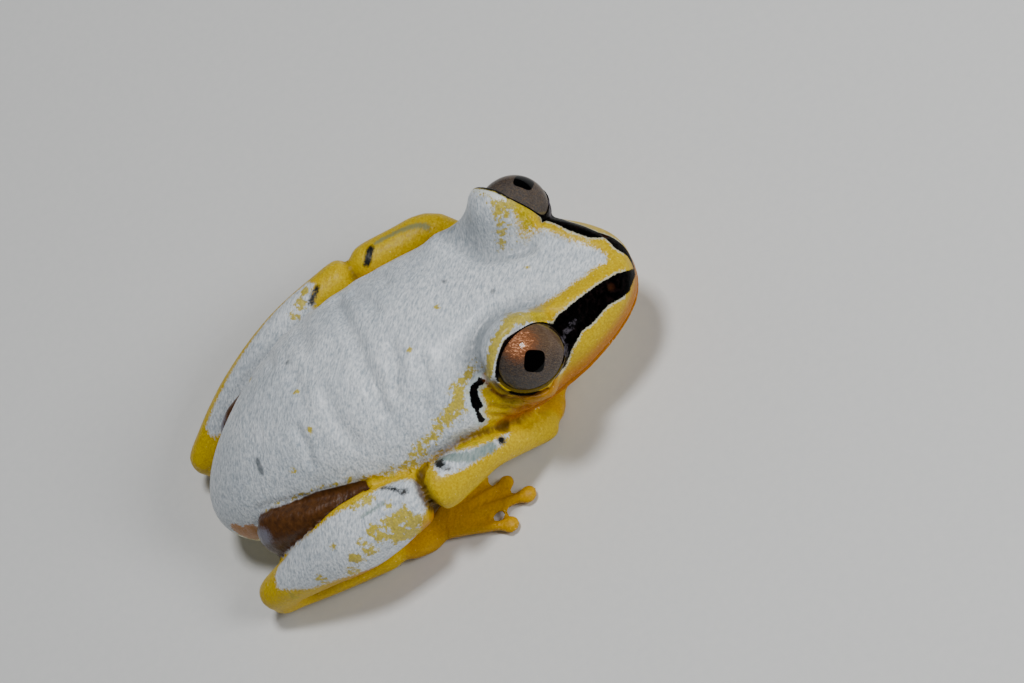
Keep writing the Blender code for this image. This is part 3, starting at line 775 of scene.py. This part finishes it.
LIMB_MOTTLES = {
    # along, around, width, strength
    "shank_right": (
        (0.64, 0.91, 0.8, 1.5), (0.48, 1.74, 0.8, 1.6), (1.45, 0.79, 0.7, 1.6),
        (2.65, 0.53, 0.6, 1.5), (1.71, 1.82, 0.9, 1.7), (1.06, -0.23, 0.45, 1.3),
        (2.10, -1.34, 0.6, 1.5), (2.99, -1.50, 0.5, 1.5), (4.85, 1.46, 0.65, 1.6),
        (3.78, 1.60, 0.6, 1.4), (3.85, 0.82, 0.5, 1.1), (5.60, -0.04, 0.45, 1.1),
        (5.99, 2.19, 0.7, 1.3), (8.09, 1.31, 0.7, 1.2), (2.61, 1.24, 0.6, 1.5),
        (1.32, 2.61, 0.8, 1.6), (10.96, 0.95, 0.6, 1.2)),
    "shank_left": (
        (2.09, -0.86, 0.5, 1.5), (2.94, -1.38, 0.5, 1.7), (3.86, -1.73, 0.42, 1.6)),
    "forearm_right": (
        (1.84, 1.56, 0.6, 1.5), (2.6, 1.0, 0.5, 1.3), (3.71, 0.80, 0.4, 1.2),
        (1.1, 2.1, 0.5, 1.3)),
}
THIGH_SPOT = (3.88, 0.42)
print("spots on the limbs:", sum(len(spots) for spots in LIMB_MOTTLES.values()))

# %% [markdown]
# ## From outlines to fields
# Every outline becomes a field on the skin: the distance to its edge in millimetres,
# positive inside. A field changes slowly, so it is exact even between the points of the
# mesh, and the material later cuts it at zero, with fine noise that makes the edge of
# single grains, as pigment cells do. Other fields are shares from 0 to 1.

# %% Fields of the back and the stripe
AWAY = -9.0
CLEAR_OF_LIPS = 0.3
YELLOW_IN_FOLDS, FOLD_LIMIT = 0.34, 0.8


def drawn(outlines):
    """Depth inside outlines that are drawn for the right side and for the left one."""
    return np.where(on_left, outline_distance(chart, outlines["left"]),
                    outline_distance(chart, outlines["right"]))


chart = trunk_chart(points)
half, side = mirrored(points)
on_left = side > 0
above_mouth = mouth_place(half)[0]
throat = np.minimum(5.4 - half[:, 2], -4.6 - half[:, 1])
stripe = drawn(SNOUT_STRIPE)
yellow = np.maximum(drawn(SNOUT_YELLOW), outline_distance(chart, CHEEK_YELLOW))
yellow = np.maximum(yellow, throat)
pearl = np.where(is_trunk, -yellow, AWAY)
beside = is_trunk & (points[:, 0] < -5) & (points[:, 1] < 5)
to_folded = gaps(tree_of(("forearm_right", "shank_right")), beside, FOLD_LIMIT)
pearl = np.where(to_folded < FOLD_LIMIT, np.minimum(pearl, to_folded - YELLOW_IN_FOLDS), pearl)
streak = outline_distance(chart, EYE_STREAK) - 0.9 * on_left * step(chart[:, 1], 0.2, 1.2)
black = np.where(is_trunk & (half[:, 2] > 3.5),
                 np.minimum(np.maximum(stripe, streak), above_mouth - CLEAR_OF_LIPS), AWAY)
pale = np.where(is_trunk & (above_mouth > CLEAR_OF_LIPS) & (chart[:, 0] < 12.0),
                np.maximum(stripe, streak + 0.12), AWAY)
print("pearl field, mm:", round(float(pearl.min()), 2), "to", round(float(pearl.max()), 2))

# %% Yellow flecks on the trunk
FRINGE_LEFT, FRINGE_RIGHT, FRINGE_WIDTH = 0.35, 0.95, 0.6
to_limb = gaps(tree_of(set(flesh) - {"torso", "head"}), is_trunk, -AWAY)
mottle = np.zeros(count)
for line, width, strength in TRUNK_MOTTLES:
    mottle = np.maximum(mottle, strength * bump_at(line_distance(chart, line), width))
mottle *= is_trunk * (half[:, 2] > 2) * (1 - 0.45 * on_left * (chart[:, 0] < 2.5))
fringe = np.where(on_left, FRINGE_LEFT, FRINGE_RIGHT) * bump_at(to_limb, FRINGE_WIDTH)
mottle = np.maximum(mottle, fringe * is_trunk * (half[:, 1] < 9))
for fleck in YELLOW_FLECKS:
    mottle = np.maximum(mottle, 1.7 * bump_at(spot_distance(points, fleck), 0.30))
print("points in flecks:", int((mottle > 0.8).sum()))

# %% Cream belly, orange lips and the small marks
BELLY_HEIGHT = 4.3
belly = step(BELLY_HEIGHT - points[:, 2], 0, 1.3)
belly *= region["torso"] | (region["head"] & (throat > 1.3))
by_the_arm = region["head"] & (points[:, 2] > 2.8) & (half[:, 1] > -11)
belly *= np.where(by_the_arm, step(to_limb, 0.8, 2.2), 1.0)
# Orange deepens down the lower cheek to the lips: partly their own colour, partly painted shade on the
# lower face.
orange = 0.9 * step(-above_mouth, -2.0, -0.3) * (1 - 0.5 * step(-above_mouth, 0.6, 2.0))
orange *= (yellow > 0) * is_trunk
on_the_right = swapped(points, -side)
rump = is_trunk | region["thigh"]
vent = np.where(rump, 0.60 - line_distance(on_the_right, VENT_ORANGE), AWAY)
lilac = np.where(rump, 0.55 - line_distance(on_the_right, VENT_LILAC), AWAY)
grey = 0.20 - line_distance(points, GREY_SMEAR)
for dot in GREY_DOTS:
    grey = np.maximum(grey, 0.17 - spot_distance(points, dot))
print("points in the belly:", int((belly > 0.5).sum()))

# %% [markdown]
# ### The lids
# A black line follows the upper lid. It widens at the rear corner of the right eye, and over
# the left eye it is broad all along, broadest at the rear. The lower lid is olive gold, with
# a black line and a fold under it. Beside the eye the skin is frosted white.
#
# These marks are placed as the picture shows them, so the picture's right and down are first
# turned back to the straight head and mirrored to its left.

# %% The black rim of the lids
RIM, RIM_REAR, CORNER = 0.18, 0.08, 0.22
LEFT_RIM, LEFT_RIM_REAR = 0.24, 0.24
picture_axes = about_z(np.array((VIEW_RIGHT, -VIEW_UP)) + NECK_PIVOT, HEAD_TURN) - NECK_PIVOT
lid_right, lid_below = picture_axes * (-1, 1, 1)
to_right, to_down = lid @ lid_right / radial, lid @ lid_below / radial
rim = RIM + RIM_REAR * step(-to_right, 0.1, 0.8)
rim += CORNER * bump_at(to_right + 0.74, 0.16) * ~on_left
upper_left = on_left * (1 - step(below, -0.3, 0.3))
rim += (LEFT_RIM + LEFT_RIM_REAR * step(-ahead, -0.7, -0.4)) * upper_left
rim -= (rim - 0.02) * step(to_down, 0.66, 0.8)
black = np.where(on_lid, np.maximum(black, rim - off_lid), black)
beyond = off_lid - rim
frost = on_lid * step(beyond, -0.02, 0.05) * (1 - step(beyond, 0.08, 0.22))
frost = frost * step(-to_right, 0.1, 0.5) * (1 - step(to_down, 0.66, 0.8))
print("lid points:", int(on_lid.sum()), "frosted:", int((frost > 0.5).sum()))

# %% The lower lid
GOLD_WIDTH, LINE_AT, LINE_HALF, FOLD_AT = 0.34, 0.48, 0.15, 0.62
gold_lid = on_lid * (1 - step(off_lid, GOLD_WIDTH - 0.06, GOLD_WIDTH + 0.06))
gold_lid = gold_lid * step(to_down, 0.1, 0.45) * step(to_right, -0.80, -0.62)
line_window = step(to_down, 0.62, 0.78) * step(to_right, -0.62, -0.35)
line_window *= 1 - step(to_right, 0.15, 0.6)
under_line = LINE_HALF - np.abs(off_lid - LINE_AT) - 0.4 * (1 - line_window)
black = np.where(on_lid, np.maximum(black, under_line), black)
shadow = on_lid * bump_at(off_lid - FOLD_AT, 0.20) * step(to_down, 0.35, 0.7)
shadow *= (1 - 0.45 * step(to_right, 0.1, 0.45)) * (1 - step(to_right, 0.7, 0.9))
shadow = np.maximum(shadow, 0.9 * bump_at(line_distance(chart, LID_CREASE), 0.11) * is_trunk)
under_lid = step(off_lid, 0.30, 0.60) * step(to_down, 0.45, 0.75) * step(to_right, -0.6, -0.2)
orange = np.maximum(orange, 0.65 * on_lid * under_lid)
print("gold lid points:", int((gold_lid > 0.5).sum()))

# %% Fields of the limbs
charts = {kind + "_" + name: limb_chart(points, kind, name) for name in JOINTS for kind in BONES}
for name, outline in PEARL.items():
    pearl = np.where(region[name], outline_distance(charts[name], outline), pearl)
line_fields = {"ink": np.full(count, AWAY), "green": np.full(count, AWAY)}
for field, name, width, line in LIMB_LINES:
    depth = np.where(region[name], width - line_distance(charts[name], line), AWAY)
    line_fields[field] = np.maximum(line_fields[field], depth)
for name, spots in LIMB_MOTTLES.items():
    for along, around, width, strength in spots:
        fleck = strength * bump_at(spot_distance(charts[name], (along, around)), width)
        mottle = np.maximum(mottle, fleck * region[name])
pale_spot = bump_at(spot_distance(charts["thigh_right"], THIGH_SPOT), 0.22)
brown = region["thigh"] * (1 - 0.6 * pale_spot * region["thigh_right"])
pearl = np.where(region["thigh"], 0.6, pearl)
# Each limb turns orange towards its underside: partly its own colour, partly painted shade.
for name, chart_places in charts.items():
    orange = np.where(region[name], 0.9 * step(chart_places[:, 1], 0.6, 4.2), orange)
for kind, share in (("hand", 0.5), ("foot", 0.5), ("tarsus", 0.2), ("upper_arm", 0.4)):
    orange = np.where(region[kind], share, orange)
print({field: int((depth > 0).sum()) for field, depth in line_fields.items()})

# %% The bare brown thigh and the yellow skin before the knee
KNEE_WIDTH, EDGE_WIDTH = 0.50, 0.15
hip = (is_trunk | region["thigh"]) & (side < 0) & (points[:, 2] > 4)
thigh_skin = np.where(hip, outline_distance(chart, THIGH_EDGE), AWAY)
brown = np.maximum(softened(brown, 6), step(thigh_skin, -EDGE_WIDTH, EDGE_WIDTH))
before_knee = line_distance(chart, KNEE_SKIN) - KNEE_WIDTH
pearl = np.where(hip, np.minimum(pearl, before_knee), pearl)
shadow = np.maximum(shadow, 0.55 * bump_at(thigh_skin + 0.14, 0.14))
mottle = np.maximum(mottle, 1.0 * bump_at(thigh_skin + 0.22, 0.26))
pearl = softened(np.clip(pearl, -0.6, 0.6), 2)
orange = softened(orange, 6)
mottle = softened(mottle, 2)
print("points in brown:", int((brown > 0.5).sum()))

# %% Writing the fields to the skin
def write_field(obj, name, values):
    """Stores one number per point, which a material can read by name."""
    field = obj.data.attributes.new(name, "FLOAT", "POINT")
    field.data.foreach_set("value", np.ascontiguousarray(values, dtype=np.float32))


specks = bump_at(line_distance(chart, STRIPE_SMEAR), 0.36) * is_trunk
DEEPEST_CREASE, DEEPEST_WRINKLE, DARKEST_FOLD = 0.34, 0.28, 0.6
# Several fields paint shade into the colour: in the brow valleys and the creases of the back, in the
# wrinkles behind the jaw, in the folds where parts touch, along the mouth's groove and in the nostril
# pits.
FIELDS = {"pearl": pearl, "black": black, "pale": pale, "mottle": mottle, "orange": orange,
          "brown": brown, "lilac": lilac, "vent": vent, "grey": grey, "gold_lid": gold_lid,
          "frost": frost, "belly": belly, "specks": specks, "mouth_groove_shade": mouth,
          "nostril": bump_at(nostril_at, 0.30), "shadow": shadow, **line_fields,
          # painted shade in the brow valleys and, more lightly, in the creases of the back
          "hollow_shade": np.clip(valley + 0.5 * shaded_crease / DEEPEST_CREASE, 0, 1),
          # painted shade in the wrinkles behind the jaw
          "shaded_crease": np.clip(wrinkle / DEEPEST_WRINKLE, 0, 1),
          # painted shade in the folds where parts touch
          "shaded_fold": np.clip(shaded_fold / DARKEST_FOLD, 0, 1)}
for name, values in FIELDS.items():
    write_field(skin, name, np.clip(values, AWAY, -AWAY))
    print(name, round(float(values.min()), 2), "to", round(float(values.max()), 2))
put_back(skin, (points - CENTRE) / 1000)
only(skin)
bpy.ops.object.shade_smooth()
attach(skin, "root")
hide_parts(*flesh)

# %% [markdown]
# ## Materials
# A material is a small graph of nodes. One helper adds a node, sets it up and links it,
# and one turns the usual web colours into the linear values that a renderer works with.

# %% Two helpers for every material
def linear(code):
    """A web colour as linear red, green, blue and alpha."""
    parts = [int(code[k:k + 2], 16) / 255 for k in (1, 3, 5)]
    return (*[v / 12.92 if v <= 0.04045 else ((v + 0.055) / 1.055) ** 2.4 for v in parts], 1)


def add(tree, kind, inputs=(), out=0, **settings):
    """Adds a shader node with its settings and links, and gives back one of its outputs."""
    node = tree.nodes.new("ShaderNode" + kind)
    for key, value in settings.items():
        setattr(node, key, value)
    for key, value in dict(inputs).items():
        if isinstance(value, bpy.types.NodeSocket):
            tree.links.new(value, node.inputs[key])
        else:
            node.inputs[key].default_value = value
    return node.outputs[out]


def laid_over(tree, colour, pigment, value, low, high, most):
    """A pigment laid over a colour as a value rises from low to high, and its share."""
    share = add(tree, "MapRange", {"Value": value, "From Min": low, "From Max": high,
                                   "To Max": most}, interpolation_type="SMOOTHSTEP")
    return add(tree, "Mix", {0: share, 6: colour, 7: pigment}, out=2, data_type="RGBA"), share


def new_material(name, **finish):
    """A Principled material with some plain settings, and its node tree and shader."""
    made = bpy.data.materials.new(name)
    made.use_nodes = True
    shader = made.node_tree.nodes["Principled BSDF"]
    for key, value in finish.items():
        shader.inputs[key.replace("_", " ").title().replace("Ior", "IOR")].default_value = value
    return made, made.node_tree, shader


# %% [markdown]
# ## Live frog skin
# Real frog skin is a thin wet film over fine grains, about 0.15 mm across, and the pigment
# sits in the grains. So the same fine noise breaks up the edges of the markings and lifts
# the surface. On the back the grains line up into short streaks that run across it, and
# their pale tone is partly their own and partly painted glints of light.

# %% Moist granular skin: the patterns
moist_skin, tree, shader = new_material("moist granular frog skin", ior=1.4,
                                        coat_roughness=0.2)
place = add(tree, "TexCoord", out="Object")
STREAK_TURN = math.radians(-36)
streaked = add(tree, "Mapping", {"Vector": place, "Rotation": (0, 0, STREAK_TURN),
                                 "Scale": (2.8, 1.0, 1.4)}, vector_type="TEXTURE")
PATTERNS = {
    # where it lies, size in mm, detail, roughness
    "grain": (place, 0.15, 2.0, 0.6),
    "fleck": (place, 0.34, 3.0, 0.65),
    "wash": (place, 4.0, 2.0, 0.5),
    "streak": (streaked, 0.13, 3.0, 0.65),
    "roll": (streaked, 0.55, 2.0, 0.55),
}
pattern = {name: add(tree, "TexNoise", {"Vector": where, "Scale": 1000 / size, "Detail": detail,
                                        "Roughness": rough}, out="Fac")
           for name, (where, size, detail, rough) in PATTERNS.items()}
uneven = {name: add(tree, "Math", {0: pattern[name], 1: 0.5}, operation="SUBTRACT")
          for name in ("grain", "fleck")}
print("patterns:", ", ".join(pattern))

# %% The pigments, each between a darker and a lighter tone
TONES = {
    # the pearl's streaks: partly the grains' own tone, partly painted glints of light
    "pearl": ("streak", 0.32, 0.66, "#A2AEB8", "#F4F8FB"),
    "silver": ("streak", 0.32, 0.66, "#929EAA", "#CDD6DD"),
    "yellow": ("grain", 0.36, 0.64, "#C29E00", "#DABC00"),
    "lemon": ("grain", 0.36, 0.64, "#A89400", "#CEB800"),
    "orange": ("grain", 0.36, 0.64, "#A65E00", "#BC7800"),
    "brown": ("fleck", 0.30, 0.70, "#3C220E", "#5E3A18"),
    "black": ("fleck", 0.50, 0.80, "#000000", "#1C1212"),
    "cream": ("fleck", 0.35, 0.65, "#E8D688", "#F4ECC8"),
}
tone = {}
for name, (by, low, high, dark, light) in TONES.items():
    share = add(tree, "MapRange", {"Value": pattern[by], "From Min": low, "From Max": high})
    tone[name] = add(tree, "Mix", {0: share, 6: linear(dark), 7: linear(light)}, out=2,
                     data_type="RGBA")
wash = add(tree, "MapRange", {"Value": pattern["wash"], "From Min": 0.35, "From Max": 0.7,
                              "To Max": 0.55})
tone["pearl"] = add(tree, "Mix", {0: wash, 6: tone["pearl"], 7: tone["silver"]}, out=2,
                    data_type="RGBA")
print("tones:", ", ".join(tone))

# %% Laying one pigment over another
LAYERS = (
    # field, unevenness and how much of it, where it starts and is full, most, pigment
    # orange, partly painted shade on the lower face and on the limbs' undersides
    ("orange", "grain", 0.30, 0.05, 0.95, 1.0, tone["orange"]),
    ("belly", "fleck", 0.30, 0.15, 0.85, 1.0, tone["cream"]),
    ("pearl", "grain", 0.80, -0.14, 0.14, 1.0, tone["pearl"]),
    ("belly", "grain", 0.80, 0.10, 0.60, 1.0, tone["cream"]),
    ("mottle", "fleck", 2.60, 0.78, 1.10, 0.9, tone["lemon"]),
    # painted shade in the brow valleys and the creases of the back
    ("hollow_shade", "grain", 0.20, 0.10, 1.10, 0.45, linear("#5E666C")),
    ("frost", "grain", 2.40, 0.45, 0.80, 0.85, linear("#E4ECEC")),
    ("pale", "grain", 0.60, -0.18, -0.04, 0.60, linear("#C8D8DA")),
    ("green", "grain", 0.40, -0.14, 0.10, 0.70, linear("#587468")),
    ("brown", "grain", 0.30, 0.30, 0.70, 1.0, tone["brown"]),
    ("vent", "grain", 0.80, -0.20, 0.00, 1.0, linear("#B47200")),
    ("lilac", "grain", 0.80, -0.26, 0.26, 0.85, linear("#80808E")),
    ("grey", "grain", 0.20, -0.14, 0.12, 0.70, linear("#363E44")),
    ("ink", "grain", 0.40, -0.16, 0.10, 1.00, linear("#060C0E")),
    ("shadow", "grain", 0.20, 0.25, 1.00, 0.85, linear("#3A220A")),
    ("black", "grain", 0.20, -0.04, 0.04, 1.0, tone["black"]),
    ("specks", "fleck", 2.00, 0.70, 1.15, 0.55, linear("#6A646E")),
    ("gold_lid", "grain", 0.30, 0.15, 0.65, 0.95, linear("#5E4C06")),
    # painted shade in the wrinkles behind the jaw
    ("shaded_crease", "grain", 0.20, 0.30, 1.10, 0.60, linear("#8A4804")),
    # painted shade in the folds where parts touch
    ("shaded_fold", "grain", 0.10, 0.36, 1.00, 0.85, linear("#4A2C0C")),
    # painted shade along the mouth's groove
    ("mouth_groove_shade", "grain", 0.10, 0.20, 1.00, 0.30, linear("#7A4208")),
    # the nostril's own dark mark, with painted shade in its pit
    ("nostril", "grain", 0.30, 0.20, 1.00, 0.60, linear("#452616")),
)
colour = tone["yellow"]
shares = {}
for name, by, amount, low, high, most, pigment in LAYERS:
    field = add(tree, "Attribute", out="Fac", attribute_name=name)
    ragged = add(tree, "Math", {0: uneven[by], 1: amount, 2: field}, operation="MULTIPLY_ADD")
    colour, shares[name] = laid_over(tree, colour, pigment, ragged, low, high, most)
tree.links.new(colour, shader.inputs["Base Color"])
print("pigment layers:", len(LAYERS))

# %% Relief and sheen
bead = add(tree, "TexVoronoi", {"Vector": streaked, "Scale": 1000 / 0.26}, out="Distance")
relief = add(tree, "Math", {0: bead, 1: -0.45, 2: pattern["streak"]}, operation="MULTIPLY_ADD")
relief = add(tree, "Math", {0: pattern["roll"], 1: 2.2, 2: relief}, operation="MULTIPLY_ADD")
beaded = add(tree, "Bump", {"Height": relief, "Strength": 0.65, "Distance": 0.00006})
tree.links.new(beaded, shader.inputs["Normal"])
SHEEN = {
    # what it depends on, from, to
    "Roughness": (pattern["grain"], 0.28, 0.50),
    "Specular IOR Level": (shares["black"], 0.40, 0.04),
    "Coat Weight": (shares["pearl"], 0.0, 0.18),
}
for socket, (by, start, end) in SHEEN.items():
    value = add(tree, "MapRange", {"Value": by, "To Min": start, "To Max": end})
    tree.links.new(value, shader.inputs[socket])
skin.data.materials.clear()
skin.data.materials.append(moist_skin)
print("skin material nodes:", len(tree.nodes))

# %% [markdown]
# ## The eyes
# A reed frog's eye is a big wet bead. The iris is grey brown with copper above the pupil,
# which is a rounded square, and the copper's sheen and glints on it are painted. Each eye is
# a ball with its pole on the line of sight, and the clear front swells a little past the
# ball, in four rings. Each point stores its place as seen from in front of the eye, and its
# angle from the middle of the lids.
#
# In the picture the light falls on the right iris, so its copper sheen is painted strong
# there and only faint in the left one. A dark ring lies where the iris goes under the lids,
# farther out at the rear of an eye, and farthest round the left eye, which is seen from the
# side.

# %% One eyeball
CORNEA_RINGS, CORNEA_STEP = (50, 40, 30, 20), 0.02


def eyeball(name, centre, look):
    """A ball with its pole on the line of sight, and its front pulled out ring by ring."""
    bpy.ops.object.select_all(action="DESELECT")
    bpy.ops.mesh.primitive_uv_sphere_add(segments=96, ring_count=64, radius=EYE_RADIUS,
                                         location=centre,
                                         rotation=look.to_track_quat("Z", "Y").to_euler())
    ball = bpy.context.object
    ball.name = name
    bpy.ops.object.transform_apply(location=True, rotation=True, scale=True)
    for angle in CORNEA_RINGS:
        with edit_mode():
            bpy.ops.mesh.select_all(action="DESELECT")
        for vertex in ball.data.vertices:
            along_look = (vertex.co - Vector(centre)).normalized().dot(look)
            vertex.select = along_look > math.cos(math.radians(angle))
        with edit_mode():
            bpy.ops.transform.translate(value=look * CORNEA_STEP)
    only(ball)
    with edit_mode():
        bpy.ops.mesh.select_all(action="SELECT")
        bpy.ops.mesh.vertices_smooth(factor=0.5, repeat=3)
    print(name, "points:", len(ball.data.vertices))
    return ball


# %% Both eyes, with the fields that their material reads
EYES = {
    # line of sight, turn of the pupil in degrees, share of painted copper sheen, ring farther out by
    # degrees
    "left": ((0.347, -0.70, 0.669), -14, 0.15, 18),
    "right": ((-0.683, -0.439, 0.605), -4, 1.0, 2),
}
FARTHER_AT_REAR = 7
eyes = []
for name, (gaze, roll, copper_sheen, farther) in EYES.items():
    mirror = np.array((1 if name == "left" else -1, 1, 1))
    look = np.array(gaze) / np.linalg.norm(gaze)
    centre, tip, lid_tip = posed(np.array((EYE_CENTRE * mirror, EYE_CENTRE * mirror + look,
                                           (EYE_CENTRE + EYE_AXIS) * mirror)))
    look = Vector(tip - centre)
    eye = eyeball("wet_eye_" + name, centre, look)
    across = Vector(VIEW_RIGHT) - Vector(VIEW_RIGHT).dot(look) * look
    across = (Matrix.Rotation(math.radians(roll), 3, look) @ across).normalized()
    from_centre = (places(eye) - centre) / EYE_RADIUS
    seen = from_centre @ np.array((across, look.cross(across), look)).T
    lid_angle = np.degrees(np.arccos(np.clip(from_centre @ (lid_tip - centre), -1, 1)))
    lid_angle -= farther + FARTHER_AT_REAR * step(-seen[:, 0], -0.35, 0.3)
    field = eye.data.attributes.new("seen", "FLOAT_VECTOR", "POINT")
    field.data.foreach_set("vector", np.ascontiguousarray(seen, dtype=np.float32).ravel())
    write_field(eye, "lid_angle", lid_angle)
    write_field(eye, "copper_sheen", np.full(len(seen), copper_sheen))
    put_back(eye, (places(eye) - CENTRE) / 1000)
    bpy.ops.object.shade_smooth()
    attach(eye, "root")
    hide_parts("eye_" + name)
    eyes.append(eye)
    print(eye.name, "lid angle up to:", round(float(lid_angle.max()), 1))

# %% The patterns of the iris
PUPIL_HALF = (0.275, 0.300, 9.0)
PUPIL_SQUARENESS = 3.6
COPPER_MIDDLE = (-0.42, 0.42, 0.8)
VEIN_TURN = math.radians(25)
wet_eye, tree, shader = new_material("wet eye over an iris with painted copper sheen", roughness=0.5,
                                     specular_ior_level=0.0, coat_weight=0.65,
                                     coat_roughness=0.02, coat_ior=1.32)
seen = add(tree, "Attribute", out="Vector", attribute_name="seen")
lid_angle = add(tree, "Attribute", out="Fac", attribute_name="lid_angle")
copper_sheen = add(tree, "Attribute", out="Fac", attribute_name="copper_sheen")
scaled = add(tree, "VectorMath", {0: seen, 1: PUPIL_HALF}, operation="DIVIDE")
scaled = add(tree, "VectorMath", {0: scaled}, operation="ABSOLUTE")
corner = [add(tree, "SeparateXYZ", {"Vector": scaled}, out=axis) for axis in ("X", "Y")]
corner = [add(tree, "Math", {0: value, 1: PUPIL_SQUARENESS}, operation="POWER")
          for value in corner]
square = add(tree, "Math", {0: corner[0], 1: corner[1]}, operation="ADD")
fine = add(tree, "TexNoise", {"Vector": seen, "Scale": 30.0, "Detail": 4.0, "Roughness": 0.7},
           out="Fac")
vein_place = add(tree, "Mapping", {"Vector": seen, "Rotation": (0, 0, VEIN_TURN),
                                   "Scale": (1.0, 3.2, 1.0)})
vein = add(tree, "TexNoise", {"Vector": vein_place, "Scale": 11.0, "Detail": 5.0,
                              "Roughness": 0.65, "Distortion": 0.8}, out="Fac")
# The copper sheen is painted round one middle point, with painted glints along the veins in it.
to_copper = add(tree, "VectorMath", {0: seen, 1: COPPER_MIDDLE}, out="Value", operation="DISTANCE")
veined = add(tree, "Math", {0: vein, 1: -0.8, 2: to_copper}, operation="MULTIPLY_ADD")
warmth = add(tree, "MapRange", {"Value": veined, "From Min": 0.38, "From Max": -0.26},
             interpolation_type="SMOOTHSTEP")
warmth = add(tree, "Math", {0: warmth, 1: copper_sheen}, operation="MULTIPLY")
copper_glint = add(tree, "Math", {0: warmth, 1: vein}, operation="MULTIPLY")
height = add(tree, "SeparateXYZ", {"Vector": seen}, out="Y")
print("copper lies at:", COPPER_MIDDLE)

# %% Iris, pupil and wet surface
IRIS_LAYERS = (
    # what it follows, where it starts and is full, most, colour
    (fine, 0.36, 0.68, 1.0, "#5C524B"),
    (height, -0.1, 0.7, 0.45, "#6E5238"),
    (height, 0.1, -0.6, 0.35, "#565656"),
    (vein, 0.48, 0.62, 0.55, "#746048"),
    # painted copper sheen, then painted glints in it
    (warmth, 0.05, 0.95, 0.80, "#86502E"),
    (copper_glint, 0.46, 0.60, 0.85, "#F0A87C"),
    (lid_angle, 57.0, 58.5, 0.5, "#7A6A34"),
    (lid_angle, 60.0, 64.0, 0.9, "#1E1614"),
    (square, 1.1, 0.86, 1.0, "#000000"),
)
colour = linear("#332B29")
for value, low, high, most, code in IRIS_LAYERS:
    colour = laid_over(tree, colour, linear(code), value, low, high, most)[0]
tree.links.new(colour, shader.inputs["Base Color"])
for eye in eyes:
    eye.data.materials.clear()
    eye.data.materials.append(wet_eye)
print("eye material nodes:", len(tree.nodes))

# %% [markdown]
# ## Floor and light
# A plain pale floor and three soft lamps, as on a copy stand: a key from above, a second
# one in front of the frog's right side that rakes over the brow and the folds of the back,
# and a weak one from behind its left side. Only the key is mirrored in the wet eyes.

# %% Stage
bpy.ops.object.select_all(action="DESELECT")
bpy.ops.mesh.primitive_plane_add(size=4, location=(0, 0, -0.00002))
floor = bpy.context.object
floor.name = "floor"
bpy.ops.object.transform_apply(location=True, rotation=True, scale=True)
paper, tree, shader = new_material("matt pale card", roughness=0.9)
place = add(tree, "TexCoord", out="Object")
fibre = add(tree, "TexNoise", {"Vector": place, "Scale": 1000 / 0.6, "Detail": 3.0}, out="Fac")
card = add(tree, "Mix", {0: fibre, 6: linear("#E2E3E2"), 7: linear("#EAEAE8")}, out=2,
           data_type="RGBA")
tree.links.new(card, shader.inputs["Base Color"])
floor.data.materials.append(paper)
print("floor, m:", [round(length, 1) for length in floor.dimensions])

# %% Lamps
LAMPS = {
    # place in metres, size, power in watts, mirrored in the eyes or not
    "key": ((0.006, -0.05, 0.295), 0.06, 0.50, True),
    "front": ((-0.16, -0.20, 0.16), 0.10, 0.45, False),
    "rim": ((0.24, 0.22, 0.16), 0.16, 0.06, False),
}
for name, (spot, size, power, mirrored_in_eyes) in LAMPS.items():
    lamp = bpy.data.objects.new(name, bpy.data.lights.new(name, "AREA"))
    bpy.context.scene.collection.objects.link(lamp)
    lamp.location = spot
    lamp.rotation_euler = Vector(spot).to_track_quat("Z", "Y").to_euler()
    lamp.data.size = size
    lamp.data.energy = power
    lamp.visible_glossy = mirrored_in_eyes
world = bpy.data.worlds.new("studio")
bpy.context.scene.world = world
world.use_nodes = True
world.node_tree.nodes["Background"].inputs["Color"].default_value = linear("#E8EEF5")
world.node_tree.nodes["Background"].inputs["Strength"].default_value = 0.08
print("lamps:", ", ".join(LAMPS))
